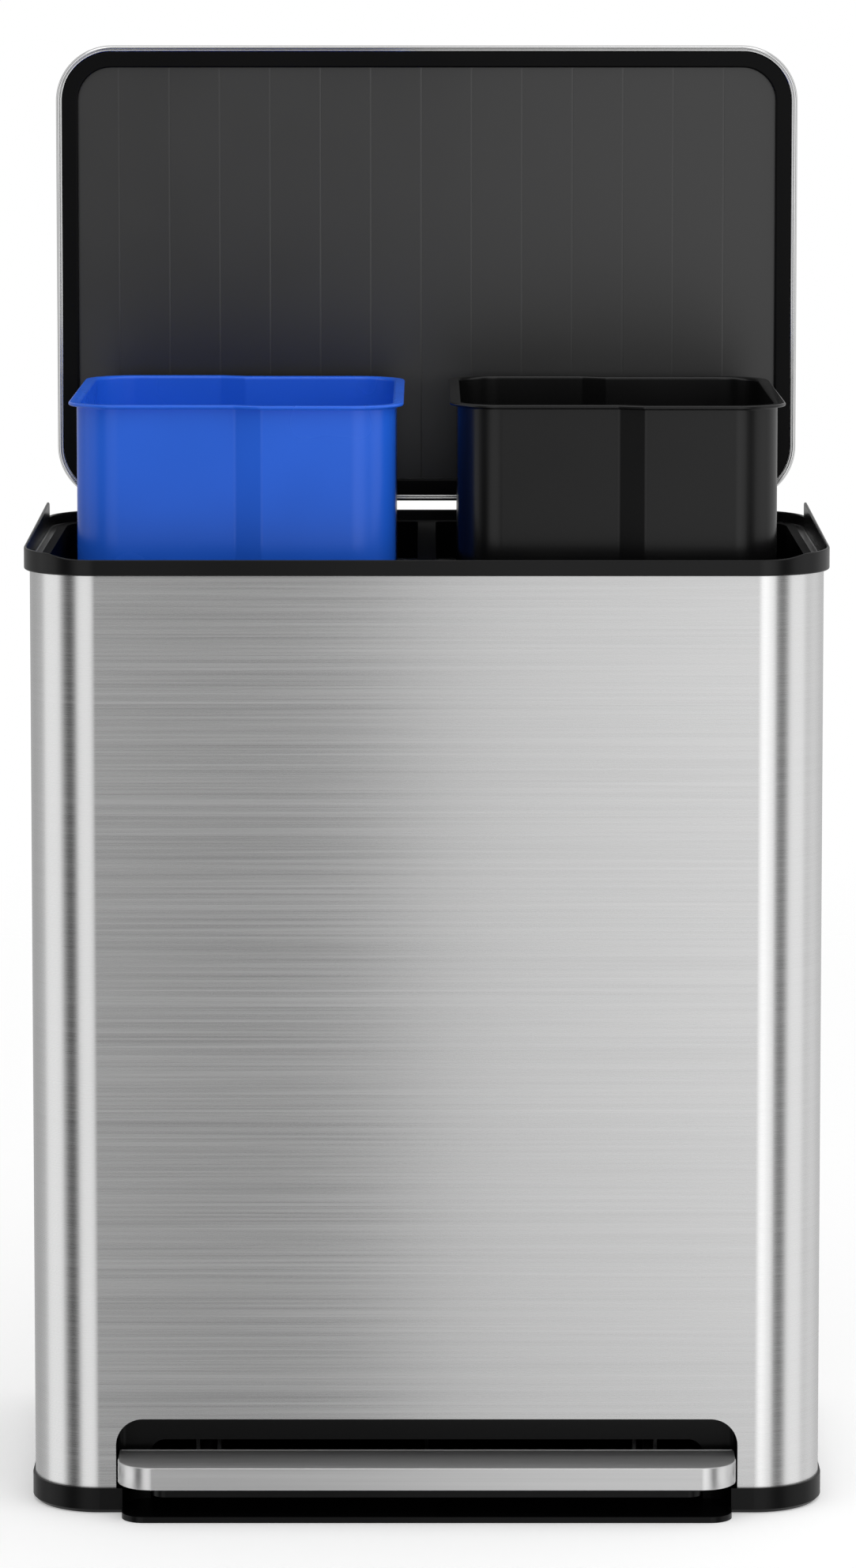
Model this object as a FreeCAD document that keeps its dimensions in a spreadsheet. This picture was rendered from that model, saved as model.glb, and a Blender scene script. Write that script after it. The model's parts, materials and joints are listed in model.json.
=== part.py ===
import FreeCAD, Part

import math
import os
import re

import Sketcher

# A double recycling bin: a brushed steel sleeve on a black plastic base, a black plastic rim, a steel
# lid hinged at the back and opened by a wide pedal, and two deep buckets that lift straight out.
#
# Frame: +Z up, the front towards -Y, +X to the right of someone who faces the front. The origin is on
# the floor, in the middle of the rim's plan. All sizes are in millimetres. At rest the pedal is down,
# the lid stands open and both buckets are drawn up, as in use when they are emptied.

DRIVING_SIZES = {
    # rim, the black moulding that crowns the sleeve
    "rim_width": 540, "rim_depth": 335, "rim_corner": 50, "rim_top": 645.5, "rim_band": 10.8,
    "rim_wall": 2, "rim_overhang": 3.9, "side_rise": 3.4, "ear_rise": 10.4, "rise_start": 1.5,
    "rise_end": 14.5, "ledge_drop": 8.5, "ledge_plate": 2.2, "ledge_width": 11,
    "skirt_depth": 22, "skirt_wall": 2, "fit_gap": 0.3,
    # guide frame with the bridge between the two mouths
    "frame_inset": 8, "frame_plate": 1.5, "mouth_side": 14, "mouth_front": 15, "mouth_back": 17,
    "mouth_corner": 32, "bridge_width": 12.5, "bridge_flare": 5, "guide_wall": 1.8, "guide_depth": 25,
    # steel sleeve and the cut-out for the pedal
    "steel_sheet": 0.8, "cutout_width": 418, "cutout_top": 64.2, "cutout_corner": 18,
    # base moulding and its front tray
    "base_height": 17.2, "base_lip": 1.7, "base_edge": 2.5, "base_plate": 2, "pad_depth": 0.8,
    "upstand_wall": 2.5, "tray_width": 409.6, "tray_reach": 21.5, "tray_lip": 4,
    "tray_wall": 2, "tray_corner": 15, "bay_depth": 30, "bay_corner": 18, "bay_wall": 2.5,
    "throat_width": 374, "throat_top": 43.5, "throat_corner": 10, "rib_wall": 2.5, "rib_length": 30,
    "rib_in_x": 225, "rib_in_y": 100, "pad_length": 40, "pad_width": 16, "pad_in_x": 205, "pad_in_y": 125,
    # pedal housing
    "housing_wall": 2, "housing_gap": 0.5, "housing_top": 68, "housing_corner": 6,
    # deck that the buckets stand on, and the divider that guides them
    "deck_top": 52, "deck_plate": 2.5, "seat_lip": 8, "seat_rib": 2.5, "seat_rib_length": 150,
    "seat_play": 0.6,
    "divider_wall": 2.5, "divider_length": 240, "divider_foot": 2,
    "divider_foot_width": 32, "runner_top": 580, "runner_wall": 2.5,
    "runner_spacing": 160,
    # buckets
    "side_play": 20.4, "end_play": 21.2, "bucket_height": 535, "bucket_wall": 2,
    "bucket_floor": 2.5, "bucket_corner": 30, "bucket_gap": 42, "bucket_step": 7.5, "step_run": 18,
    "step_round": 7, "flange_reach": 5.5, "flange_plate": 2.3, "bucket_lift": 158,
    # lid, drawn shut about its hinge axis and then turned up
    "hinge_back": 334.5, "hinge_height": 648.5, "lid_width": 529.2, "lid_front": 4.5,
    "lid_back_gap": 4, "lid_corner": 39.5, "lid_below_axis": 7.5, "lid_thickness": 14,
    "lid_edge_round": 6, "bead": 4.3, "bead_bevel": 1.2, "lid_frame_gap": 0.1, "lid_frame_width": 11.2,
    "lid_frame_set": 0.6, "lid_frame_plate": 2.4, "lid_frame_wall": 2, "panel_set": 5,
    "panel_plate": 2, "panel_rib": 1.2, "panel_rib_height": 5, "panel_rib_pitch": 36,
    # hinges and cranks
    "hinge_spacing": 300, "knuckle_radius": 5.2, "knuckle_length": 23.6, "hinge_pin_radius": 2.5,
    "pin_play": 0.05, "ear_gap": 24, "ear_plate": 2.5, "ear_radius": 5.5, "bracket_width": 42,
    "bracket_plate": 2.5, "bracket_foot": 6, "bracket_slot": 18, "bracket_slot_depth": 4.3, "arm_plate": 3,
    "arm_length": 40, "arm_slot_end": 26, "notch_width": 32,
    "crank_radius": 15, "crank_angle": 45, "crank_half_width": 3.6, "crank_cheek": 3,
    "crank_gap": 6, "crank_pin_radius": 2, "slot_play": 0.3, "slot_lift": 0.6,
    "eye_plate": 5, "eye_wall": 1.7, "eye_half_height": 5,
    # push rod, damper and what holds them to the back of the sleeve
    "rod_radius": 3, "rod_guide_width": 18, "rod_guide_height": 10, "rod_guide_low": 200,
    "rod_guide_high": 590, "rod_guide_front": 5.5, "rod_fit": 0.05, "clevis_cheek": 2,
    "clevis_gap": 4.6, "clevis_top": 50, "clevis_bridge": 2, "clevis_drop": 18,
    "clevis_half_depth": 5.8, "clevis_slot_half": 4.2,
    "damper_radius": 7, "damper_bottom": 500, "damper_top": 605, "damper_floor": 3,
    "rod_engaged": 60, "damper_rod_radius": 2.5, "clip_width": 22, "clip_height": 10,
    "clip_low": 515, "clip_high": 580, "clip_front": 4,
    # pedal, lever and axle
    "pivot_back": 106.5, "pivot_height": 30, "axle_radius": 4, "lever_boss": 5,
    "lever_plate": 4, "lever_height": 13, "lever_top": 33.6, "lever_front": 14,
    "lever_end_height": 38, "lever_end_radius": 5, "lever_tie": 14, "lever_pin_radius": 2.5,
    "cheek_gap": 12, "cheek_plate": 2.5, "cheek_half_depth": 12, "cheek_over_axle": 8,
    "tread_half_width": 207.5, "tread_reach": 25, "tread_back": 24, "tread_corner": 24,
    "tread_back_corner": 2, "tread_bottom": 23.1, "tread_top": 38.2, "tread_sheet": 1.2,
    "tread_sink": 0.4, "core_plate": 3, "core_wall": 2.5, "core_bottom": 17,
    "core_half_width": 184, "core_front": 19.5, "core_back": 12, "core_corner": 9,
    # studs under the lid
    "bumper_width": 4.4, "bumper_length": 14, "bumper_height": 2.4, "bumper_from_front": 60,
}

# Lines that several pieces share, written in the driving sizes. An inset is measured inwards from the
# rim's own outline, and a place "from the front" is measured back from the front face of the rim.
STEEL_INSET = "rim_overhang"
STEEL_INSIDE = "(rim_overhang + steel_sheet)"
LINER_INSET = "(rim_overhang + steel_sheet + fit_gap)"
BASE_INSET = "(rim_overhang - base_lip)"
LEDGE_TOP = "(rim_top - ledge_drop)"
STEEL_TOP = "(rim_top - ledge_drop - ledge_plate)"
BASE_FLOOR = "(pad_depth + base_plate)"
DECK_UNDER = "(deck_top - deck_plate)"
FRONT = "(-rim_depth/2)"
BACK = "(rim_depth/2)"
HINGE_Y = "(hinge_back - rim_depth/2)"
ROD_Y = "(hinge_back - rim_depth/2 - crank_radius*(1 + cos(crank_angle*1deg))/2)"
CRANK_SWING = "(crank_radius*(1 - cos(crank_angle*1deg)))"
CRANK_REACH = "(crank_radius*sin(crank_angle*1deg))"
PIVOT_Y = "(pivot_back - rim_depth/2)"
BUCKET_WIDTH = "(rim_width/2 - mouth_side - side_play - bucket_gap/2)"
BUCKET_DEPTH = "(rim_depth - mouth_front - mouth_back - 2*end_play)"
BUCKET_TOP = "(deck_top + bucket_height + bucket_lift)"

doc = FreeCAD.newDocument("RecyclingBin")
sheet = doc.addObject("Spreadsheet::Sheet", "Sizes")
for row, (alias, size) in enumerate(DRIVING_SIZES.items(), start=1):
    sheet.set(f"A{row}", alias)
    sheet.set(f"B{row}", str(size))
    sheet.setAlias(f"B{row}", alias)
doc.recompute()

pieces = []


def bind(text):
    """Turns each driving size's name in an expression into a reference to its cell."""
    def cell(word):
        return "Sizes." + word[0] if word[0] in DRIVING_SIZES else word[0]
    return re.sub(r"[a-z][a-z_]+", cell, text)


def value(text):
    """The present value of an expression, used to start a sketch near its solution."""
    result = sheet.evalExpression(bind(text))
    return float(getattr(result, "Value", result))


def piece(label):
    """A new body: one piece of the bin, named by its label."""
    body = doc.addObject("PartDesign::Body", "Body_" + label)
    body.Label = label
    pieces.append(body)
    return body


def polygon(points, radii="0"):
    """A closed outline through named points, each rounded by its radius ("0" leaves it sharp)."""
    rounds = [radii] * len(points) if isinstance(radii, str) else list(radii)
    return ("polygon", points, rounds)


def rectangle(left, right, front, back, radii="0"):
    """An upright rectangle. Its corners run front left, front right, back right, back left."""
    return polygon([(left, front), (right, front), (right, back), (left, back)], radii)


def disc(across, along, radius):
    return ("disc", across, along, radius)


def inset(amount):
    """The rim's outline drawn in by an amount, so that all the walls inside it stay parallel."""
    half_x = f"(rim_width/2 - {amount})"
    half_y = f"(rim_depth/2 - {amount})"
    return rectangle(f"-{half_x}", half_x, f"-{half_y}", half_y, f"rim_corner - {amount}")


def hold(sketch, kind, places, text):
    """Adds one dimension to a sketch and ties it to its expression."""
    index = sketch.addConstraint(Sketcher.Constraint(kind, *places, value(text)))
    sketch.setExpression(f"Constraints[{index}]", bind(text))


def draw_disc(sketch, across, along, radius):
    centre = FreeCAD.Vector(value(across), value(along), 0)
    index = sketch.addGeometry(Part.Circle(centre, FreeCAD.Vector(0, 0, 1), value(radius)), False)
    hold(sketch, "DistanceX", (-1, 1, index, 3), across)
    hold(sketch, "DistanceY", (-1, 1, index, 3), along)
    hold(sketch, "Radius", (index,), radius)


def draw_polygon(sketch, points, rounds):
    """Lines between the points, joined at each by an arc that touches both lines."""
    corners = [FreeCAD.Vector(value(across), value(along), 0) for across, along in points]
    count = len(corners)
    round_sizes = [value(text) for text in rounds]
    enters, leaves, centres = [], [], []
    for number, corner in enumerate(corners):
        before = (corners[number - 1] - corner).normalize()
        after = (corners[(number + 1) % count] - corner).normalize()
        half_turn = before.getAngle(after) / 2
        reach = round_sizes[number] / math.tan(half_turn)
        enters.append(corner + before * reach)
        leaves.append(corner + after * reach)
        centres.append(corner + (before + after).normalize() * (round_sizes[number] / math.sin(half_turn)))
    marks = [sketch.addGeometry(Part.Point(corner), True) for corner in corners]
    lines = []
    for number in range(count):
        line = Part.LineSegment(leaves[number], enters[(number + 1) % count])
        lines.append(sketch.addGeometry(line, False))
    for number, (across, along) in enumerate(points):
        hold(sketch, "DistanceX", (-1, 1, marks[number], 1), across)
        hold(sketch, "DistanceY", (-1, 1, marks[number], 1), along)
        line_in, line_out = lines[number - 1], lines[number]
        if round_sizes[number] == 0:
            sketch.addConstraint(Sketcher.Constraint("Coincident", line_in, 2, marks[number], 1))
            sketch.addConstraint(Sketcher.Constraint("Coincident", line_out, 1, marks[number], 1))
            continue
        sketch.addConstraint(Sketcher.Constraint("PointOnObject", marks[number], 1, line_in))
        sketch.addConstraint(Sketcher.Constraint("PointOnObject", marks[number], 1, line_out))
        turns_left = (enters[number] - centres[number]).cross(leaves[number] - centres[number]).z > 0
        ends = [enters[number], leaves[number]] if turns_left else [leaves[number], enters[number]]
        angles = [math.atan2(end.y - centres[number].y, end.x - centres[number].x) for end in ends]
        circle = Part.Circle(centres[number], FreeCAD.Vector(0, 0, 1), round_sizes[number])
        arc = sketch.addGeometry(Part.ArcOfCircle(circle, *angles), False)
        start, end = (1, 2) if turns_left else (2, 1)
        sketch.addConstraint(Sketcher.Constraint("Tangent", line_in, 2, arc, start))
        sketch.addConstraint(Sketcher.Constraint("Tangent", line_out, 1, arc, end))
        hold(sketch, "Radius", (arc,), rounds[number])


def sketch_on(body, plane, level, loops):
    """A sketch parallel to one of the body's own planes. On "side" X is the depth and Y the height."""
    role = {"plan": "XY_Plane", "side": "YZ_Plane", "face": "XZ_Plane"}[plane]
    sketch = body.newObject("Sketcher::SketchObject", f"Sketch_{body.Label}")
    planes = [feature for feature in body.Origin.OriginFeatures if feature.Role == role]
    sketch.AttachmentSupport = [(planes[0], "")]
    sketch.MapMode = "FlatFace"
    sketch.setExpression("AttachmentOffset.Base.z", bind(level))
    for loop in loops:
        if loop[0] == "disc":
            draw_disc(sketch, *loop[1:])
        else:
            draw_polygon(sketch, *loop[1:])
    return sketch


def pad(body, plane, level, length, *loops, middle=False):
    """Adds a slab. The level is where its sketch lies, which is its middle plane if middle is set."""
    feature = body.newObject("PartDesign::Pad", f"Pad_{body.Label}")
    feature.Profile = sketch_on(body, plane, level, loops)
    feature.setExpression("Length", bind(length))
    feature.SideType = "Symmetric" if middle else "One side"
    doc.recompute()
    if not feature.isValid():
        raise ValueError(f"{body.Label}: {feature.Name} failed")
    return feature


def cut(body, plane, level, length, *loops, middle=False):
    """Cuts a slab away. It runs against the plane's normal: down, to the left or to the back."""
    before = body.Shape.Volume
    feature = body.newObject("PartDesign::Pocket", f"Pocket_{body.Label}")
    feature.Profile = sketch_on(body, plane, level, loops)
    feature.setExpression("Length", bind(length))
    feature.SideType = "Symmetric" if middle else "One side"
    doc.recompute()
    if body.Shape.Volume > before - 1e-6:
        raise ValueError(f"{body.Label}: {feature.Name} cuts nothing")
    return feature


def bevel_edges(body, level, width):
    """Bevels every edge that lies flat at one height."""
    height = value(level)
    names = []
    for number, edge in enumerate(body.Tip.Shape.Edges, start=1):
        box = edge.BoundBox
        if abs(box.ZMin - height) < 1e-4 and abs(box.ZMax - height) < 1e-4:
            names.append(f"Edge{number}")
    solid = body.Tip
    feature = body.newObject("PartDesign::Chamfer", f"Bevel_{body.Label}")
    feature.Base = (solid, names)
    feature.setExpression("Size", bind(width))
    doc.recompute()
    if not feature.isValid():
        raise ValueError(f"{body.Label}: {feature.Name} does not fit its {len(names)} edges")
    return feature


def part_object(kind, name, links):
    """A Part primitive whose sizes and place are tied to expressions."""
    item = doc.addObject(kind, name)
    for prop, text in links.items():
        item.setExpression(prop, bind(text))
    return item


def upright(name, x, y, low, height, radius):
    """A vertical cylinder."""
    return part_object("Part::Cylinder", name, {
        "Radius": radius, "Height": height,
        "Placement.Base.x": x, "Placement.Base.y": y, "Placement.Base.z": low})


def crosswise(name, middle_x, y, z, length, radius):
    """A cylinder along X, centred on middle_x."""
    item = part_object("Part::Cylinder", name, {
        "Radius": radius, "Height": length, "Placement.Base.x": f"{middle_x} - ({length})/2",
        "Placement.Base.y": y, "Placement.Base.z": z})
    item.Placement.Rotation = FreeCAD.Rotation(FreeCAD.Vector(0, 1, 0), 90)
    return item


def block(name, left, right, front, back, low, high):
    return part_object("Part::Box", name, {
        "Length": f"({right}) - ({left})", "Width": f"({back}) - ({front})",
        "Height": f"({high}) - ({low})",
        "Placement.Base.x": left, "Placement.Base.y": front, "Placement.Base.z": low})


def less(label, base, tool):
    cut_off = doc.addObject("Part::Cut", label)
    cut_off.Base = base
    cut_off.Tool = tool
    cut_off.Label = label
    return cut_off


def group(label, items):
    """Identical small parts that stay separate solids in one node."""
    together = doc.addObject("Part::Compound", label)
    together.Links = items
    together.Label = label
    pieces.append(together)
    return together


def keep_as(label, item):
    """Makes a single Part object a piece of the bin."""
    item.Label = label
    pieces.append(item)
    return item


def pin(label, middle_x, y, z, grip, radius):
    """A plain pin along X, as long as what it holds."""
    return keep_as(label, crosswise(label, middle_x, y, z, grip, radius))


def turn_open(item):
    """Lid pieces are drawn shut about the hinge axis: this hangs them on it, turned up to stand."""
    item.setExpression("Placement.Base.y", bind(HINGE_Y))
    item.setExpression("Placement.Base.z", bind("hinge_height"))
    item.Placement.Rotation = FreeCAD.Rotation(FreeCAD.Vector(1, 0, 0), -90)
    return item


# ---- base -----------------------------------------------------------------------------------------

PAD_PLACES = [(side, end) for side in ("-1", "1") for end in ("-1", "1")]
HOUSING_HALF = "(cutout_width/2 + housing_gap)"
HOUSING_BACK = "(-rim_depth/2 + bay_depth)"


def make_base():
    base = piece("base_moulding")
    pad(base, "plan", "0", "base_height", inset(BASE_INSET))
    bevel_edges(base, "0", "base_edge")
    tray = rectangle("-tray_width/2", "tray_width/2", f"{FRONT} - tray_reach", f"{FRONT} + bay_depth",
                     ["tray_corner", "tray_corner", "0", "0"])
    pad(base, "plan", "0", "tray_lip", tray)
    inner = f"({LINER_INSET} + upstand_wall)"
    cut(base, "plan", "base_height", f"base_height - {BASE_FLOOR}", inset(inner))
    pad(base, "plan", "base_height", f"{DECK_UNDER} - base_height", inset(LINER_INSET), inset(inner))
    bay_outside = f"({HOUSING_HALF} + housing_wall)"
    pad(base, "plan", BASE_FLOOR, f"base_height - {BASE_FLOOR}", rectangle(
        f"-{bay_outside}", bay_outside, f"{FRONT} + {inner} - 1", f"{HOUSING_BACK} + bay_wall"))
    cut(base, "plan", "base_height", f"base_height - {BASE_FLOOR}", rectangle(
        "-tray_width/2", "tray_width/2", f"{FRONT} - tray_reach", HOUSING_BACK,
        ["0", "0", "bay_corner", "bay_corner"]))
    cut(base, "plan", "base_height", f"base_height - {BASE_FLOOR}", rectangle(
        "-throat_width/2", "throat_width/2", HOUSING_BACK + " - 1", f"{HOUSING_BACK} + bay_wall + 1"))
    lip_end = f"{FRONT} + {BASE_INSET} + tray_wall"
    pad(base, "plan", BASE_FLOOR, f"tray_lip - {BASE_FLOOR}", rectangle(
        "-tray_width/2", "tray_width/2", f"{FRONT} - tray_reach", lip_end,
        ["tray_corner", "tray_corner", "0", "0"]))
    inner_corner = "tray_corner - tray_wall"
    cut(base, "plan", "tray_lip", f"tray_lip - {BASE_FLOOR}", rectangle(
        "-tray_width/2 + tray_wall", "tray_width/2 - tray_wall", f"{FRONT} - tray_reach + tray_wall",
        f"{lip_end} + 1", [inner_corner, inner_corner, "0", "0"]))
    housing_half = f"({HOUSING_HALF} + housing_wall + fit_gap)"
    cut(base, "plan", f"{DECK_UNDER} + 1", f"{DECK_UNDER} + 1 - base_height", rectangle(
        f"-{housing_half}", housing_half, f"{FRONT} - 1", f"{FRONT} + {inner} + 1"))
    ribs = [rectangle(f"{side}*rib_in_x - rib_wall/2", f"{side}*rib_in_x + rib_wall/2",
                      f"{end}*rib_in_y - rib_length/2", f"{end}*rib_in_y + rib_length/2")
            for side in ("-1", "0", "1") for end in ("-1", "1")]
    pad(base, "plan", BASE_FLOOR, f"{DECK_UNDER} - {BASE_FLOOR}", *ribs)
    cut(base, "plan", "pad_depth", "pad_depth", *[pad_outline(*place, "fit_gap") for place in PAD_PLACES])
    return base


def pad_outline(side, end, grow):
    return rectangle(f"{side}*pad_in_x - pad_length/2 - {grow}", f"{side}*pad_in_x + pad_length/2 + {grow}",
                     f"{end}*pad_in_y - pad_width/2 - {grow}", f"{end}*pad_in_y + pad_width/2 + {grow}")


def make_foot_pads():
    """Anti-slip pads, glued in shallow seats under the base and level with its underside."""
    items = []
    for number, (side, end) in enumerate(PAD_PLACES, start=1):
        items.append(block(
            f"foot_pad_{number}", f"{side}*pad_in_x - pad_length/2", f"{side}*pad_in_x + pad_length/2",
            f"{end}*pad_in_y - pad_width/2", f"{end}*pad_in_y + pad_width/2", "0", "pad_depth"))
    return group("foot_pads", items)


def make_pedal_housing():
    """The black pocket behind the cut-out. The lever passes through the throat in its back wall."""
    housing = piece("pedal_housing")
    outer = f"({HOUSING_HALF} + housing_wall)"
    front = f"{FRONT} + {LINER_INSET}"
    back = f"{HOUSING_BACK} + housing_wall"
    corner = "housing_corner + housing_wall"
    pad(housing, "plan", "base_height", "housing_top - base_height", rectangle(
        f"-{outer}", outer, front, back, ["0", "0", corner, corner]))
    cut(housing, "plan", "housing_top - housing_wall", "housing_top - housing_wall - base_height",
        rectangle(f"-{HOUSING_HALF}", HOUSING_HALF, front + " - 1", HOUSING_BACK,
                  ["0", "0", "housing_corner", "housing_corner"]))
    cut(housing, "face", f"-({HOUSING_BACK}) + 1", "housing_wall + 2", rectangle(
        "-throat_width/2", "throat_width/2", "base_height - 1", "throat_top",
        ["0", "0", "throat_corner", "throat_corner"]))
    return housing


# ---- sleeve, rim and guide frame --------------------------------------------------------------------


def make_sleeve():
    sleeve = piece("body_shell")
    pad(sleeve, "plan", "base_height", f"{STEEL_TOP} - base_height", inset(STEEL_INSET), inset(STEEL_INSIDE))
    cut(sleeve, "face", "rim_depth/2", f"{STEEL_INSIDE} + 4", rectangle(
        "-cutout_width/2", "cutout_width/2", "base_height - 20", "cutout_top",
        ["0", "0", "cutout_corner", "cutout_corner"]))
    return sleeve


def hinge_slots(front, back, width):
    """The plan of what makes room for the two hinges."""
    return [rectangle(f"({side})*hinge_spacing/2 - ({width})/2", f"({side})*hinge_spacing/2 + ({width})/2",
                      front, back) for side in ("-1", "1")]


CRANK_SLOT_BACK = f"({HINGE_Y} - knuckle_radius - 0.3)"
EAR_END = "(rim_depth/2 - rim_corner)"


def make_rim():
    rim = piece("top_collar")
    top = "(rim_top + ear_rise)"
    bottom = "(rim_top - rim_band)"
    pad(rim, "plan", bottom, f"{top} - {bottom}", inset("0"), inset("rim_wall"))
    pad(rim, "plan", STEEL_TOP, "ledge_plate", inset("rim_wall/2"), inset("ledge_width"))
    pad(rim, "plan", f"{STEEL_TOP} - skirt_depth", "skirt_depth", inset(LINER_INSET),
        inset(f"({LINER_INSET} + skirt_wall)"))
    # the top edge: low in front, rising through the corners and along the sides to the two ears
    cut(rim, "side", "0", "rim_width + 20", polygon([
        (f"{FRONT} - 5", "rim_top"), (f"{FRONT} + rise_start", "rim_top"),
        (f"{FRONT} + rise_end", "rim_top + side_rise"), (EAR_END, top), (EAR_END, "rim_top"),
        (f"{BACK} + 5", "rim_top"), (f"{BACK} + 5", f"{top} + 5"), (f"{FRONT} - 5", f"{top} + 5")],
        ["0", "8", "8", "0", "0", "0", "0", "0"]), middle=True)
    notch = "(notch_width + 2)"
    cut(rim, "plan", f"{top} + 1", f"{top} + 1 - {LEDGE_TOP}",
        *hinge_slots(f"{BACK} - rim_wall - 1", f"{BACK} + 1", notch))
    cut(rim, "plan", f"{LEDGE_TOP} + 1", "ledge_plate + 2",
        *hinge_slots(f"{BACK} - ledge_width - 2", CRANK_SLOT_BACK, "bracket_slot"))
    return rim


def make_guide_frame():
    """The frame in the rim's mouth: a lip on the ledge, two openings with guide walls, a bridge."""
    frame = piece("bucket_guide_frame")
    left, right = "-(rim_width/2 - mouth_side)", "rim_width/2 - mouth_side"
    front, back = f"{FRONT} + mouth_front", f"{BACK} - mouth_back"
    inner, outer = "bridge_flare", "mouth_corner"

    def openings(grow):
        left_one = rectangle(f"{left} - {grow}", f"-bridge_width/2 + {grow}", f"{front} - {grow}",
                             f"{back} + {grow}", [f"{outer} + {grow}", inner, inner, f"{outer} + {grow}"])
        right_one = rectangle(f"bridge_width/2 - {grow}", f"{right} + {grow}", f"{front} - {grow}",
                              f"{back} + {grow}", [inner, f"{outer} + {grow}", f"{outer} + {grow}", inner])
        return [left_one, right_one]

    block_outline = rectangle(f"{left} - guide_wall", f"{right} + guide_wall", f"{front} - guide_wall",
                              f"{back} + guide_wall", f"{outer} + guide_wall")
    pad(frame, "plan", f"{LEDGE_TOP} - guide_depth", "guide_depth", block_outline)
    pad(frame, "plan", LEDGE_TOP, "frame_plate", inset("frame_inset"))
    cut(frame, "plan", f"{LEDGE_TOP} + frame_plate", "guide_depth + frame_plate + 1", *openings("0"))
    cut(frame, "plan", LEDGE_TOP, "guide_depth + 1", rectangle(
        "-bridge_width/2 + guide_wall", "bridge_width/2 - guide_wall", front, back))
    cut(frame, "plan", f"{LEDGE_TOP} + frame_plate + 1", "guide_depth + frame_plate + 2",
        *hinge_slots(f"{back} - 1", f"{BACK} - frame_inset + 1", "bracket_slot"))
    return frame


# ---- deck and divider -------------------------------------------------------------------------------


def make_deck():
    """The floor that the buckets stand on, with a low rib on each side of a bucket's place."""
    deck = piece("bucket_deck")
    edge = f"({LINER_INSET} + fit_gap)"
    pad(deck, "plan", DECK_UNDER, "deck_plate", inset(edge))
    near = "(bucket_gap/2 - seat_play - seat_rib)"
    far = f"(bucket_gap/2 + {BUCKET_WIDTH} + seat_play)"
    ribs = []
    for side in ("-1", "1"):
        for start in (near, far):
            low, high = sorted((f"{side}*{start}", f"{side}*({start} + seat_rib)"), key=value)
            ribs.append(rectangle(low, high, "-seat_rib_length/2", "seat_rib_length/2"))
    pad(deck, "plan", "deck_top", "seat_lip", *ribs)
    bay = f"({HOUSING_HALF} + housing_wall + fit_gap)"
    cut(deck, "plan", "deck_top + 1", "deck_plate + 2", rectangle(
        f"-{bay}", bay, f"{FRONT} - 1", f"{HOUSING_BACK} + housing_wall + fit_gap"))
    rod_hole = "(clevis_gap + 2*clevis_cheek + 4)"
    cut(deck, "plan", "deck_top + 1", "deck_plate + 2", rectangle(
        f"hinge_spacing/2 - {rod_hole}/2", f"hinge_spacing/2 + {rod_hole}/2",
        f"{ROD_Y} - clevis_half_depth - 2", BACK))
    return deck


def make_divider():
    """The wall between the buckets. Its runners stand just clear of their flat inner sides."""
    divider = piece("centre_divider")
    pad(divider, "plan", "deck_top", f"{LEDGE_TOP} - deck_top", rectangle(
        "-divider_wall/2", "divider_wall/2", "-divider_length/2", "divider_length/2"))
    pad(divider, "plan", "deck_top", "divider_foot", rectangle(
        "-divider_foot_width/2", "divider_foot_width/2", "-divider_length/2", "divider_length/2"))
    reach = "(bucket_gap/2 - fit_gap)"
    start = "(deck_top + seat_lip + 1)"
    for end in ("-1", "1"):
        pad(divider, "plan", start, f"runner_top - {start}", rectangle(
            f"-{reach}", reach, f"{end}*runner_spacing/2 - runner_wall/2",
            f"{end}*runner_spacing/2 + runner_wall/2"))
    return divider


# ---- buckets ----------------------------------------------------------------------------------------


def bucket_outline(middle, grow):
    """The bucket's plan: half of the front stands forward and the opposite half of the back stands
    backward, so the outline is the same when the bucket is turned round."""
    half_x, half_y = f"({BUCKET_WIDTH}/2 + {grow})", f"({BUCKET_DEPTH}/2 + {grow})"
    slide = f"({grow})*tan(atan(bucket_step/step_run)/2)"
    corner, soft = f"bucket_corner + {grow}", "step_round"
    points = [
        (f"{middle} - {half_x}", f"-{half_y} + bucket_step"),
        (f"{middle} - {slide}", f"-{half_y} + bucket_step"),
        (f"{middle} + step_run - {slide}", f"-{half_y}"), (f"{middle} + {half_x}", f"-{half_y}"),
        (f"{middle} + {half_x}", f"{half_y} - bucket_step"),
        (f"{middle} + {slide}", f"{half_y} - bucket_step"),
        (f"{middle} - step_run + {slide}", half_y), (f"{middle} - {half_x}", half_y)]
    return polygon(points, [corner, soft, soft, corner, corner, soft, soft, corner])


def make_bucket(label, side):
    bucket = piece(label)
    middle = f"({side})*(bucket_gap + {BUCKET_WIDTH})/2"
    bottom = f"({BUCKET_TOP} - bucket_height)"
    pad(bucket, "plan", bottom, "bucket_height", bucket_outline(middle, "0"))
    pad(bucket, "plan", f"{BUCKET_TOP} - flange_plate", "flange_plate", bucket_outline(middle, "flange_reach"))
    cut(bucket, "plan", BUCKET_TOP, "bucket_height - bucket_floor", bucket_outline(middle, "-bucket_wall"))
    return bucket


# ---- lid --------------------------------------------------------------------------------------------

LID_EDGE = "(-lid_below_axis)"
LID_FACE = "(lid_thickness - lid_below_axis)"
FRAME_OUTER = "(bead + lid_frame_gap)"
FRAME_INNER = "(bead + lid_frame_gap + lid_frame_width)"
PANEL_LEVEL = f"({LID_EDGE} + panel_set)"


def lid_outline(amount):
    """The lid's outline drawn in by an amount, about the hinge axis with the lid shut."""
    half = f"(lid_width/2 - {amount})"
    return rectangle(f"-{half}", half, f"-(hinge_back - lid_front - {amount})",
                     f"-(lid_back_gap + {amount})", f"lid_corner - {amount}")


def lid_notches(deep):
    return hinge_slots(f"-(lid_back_gap + {deep})", "0", "notch_width")


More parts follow.
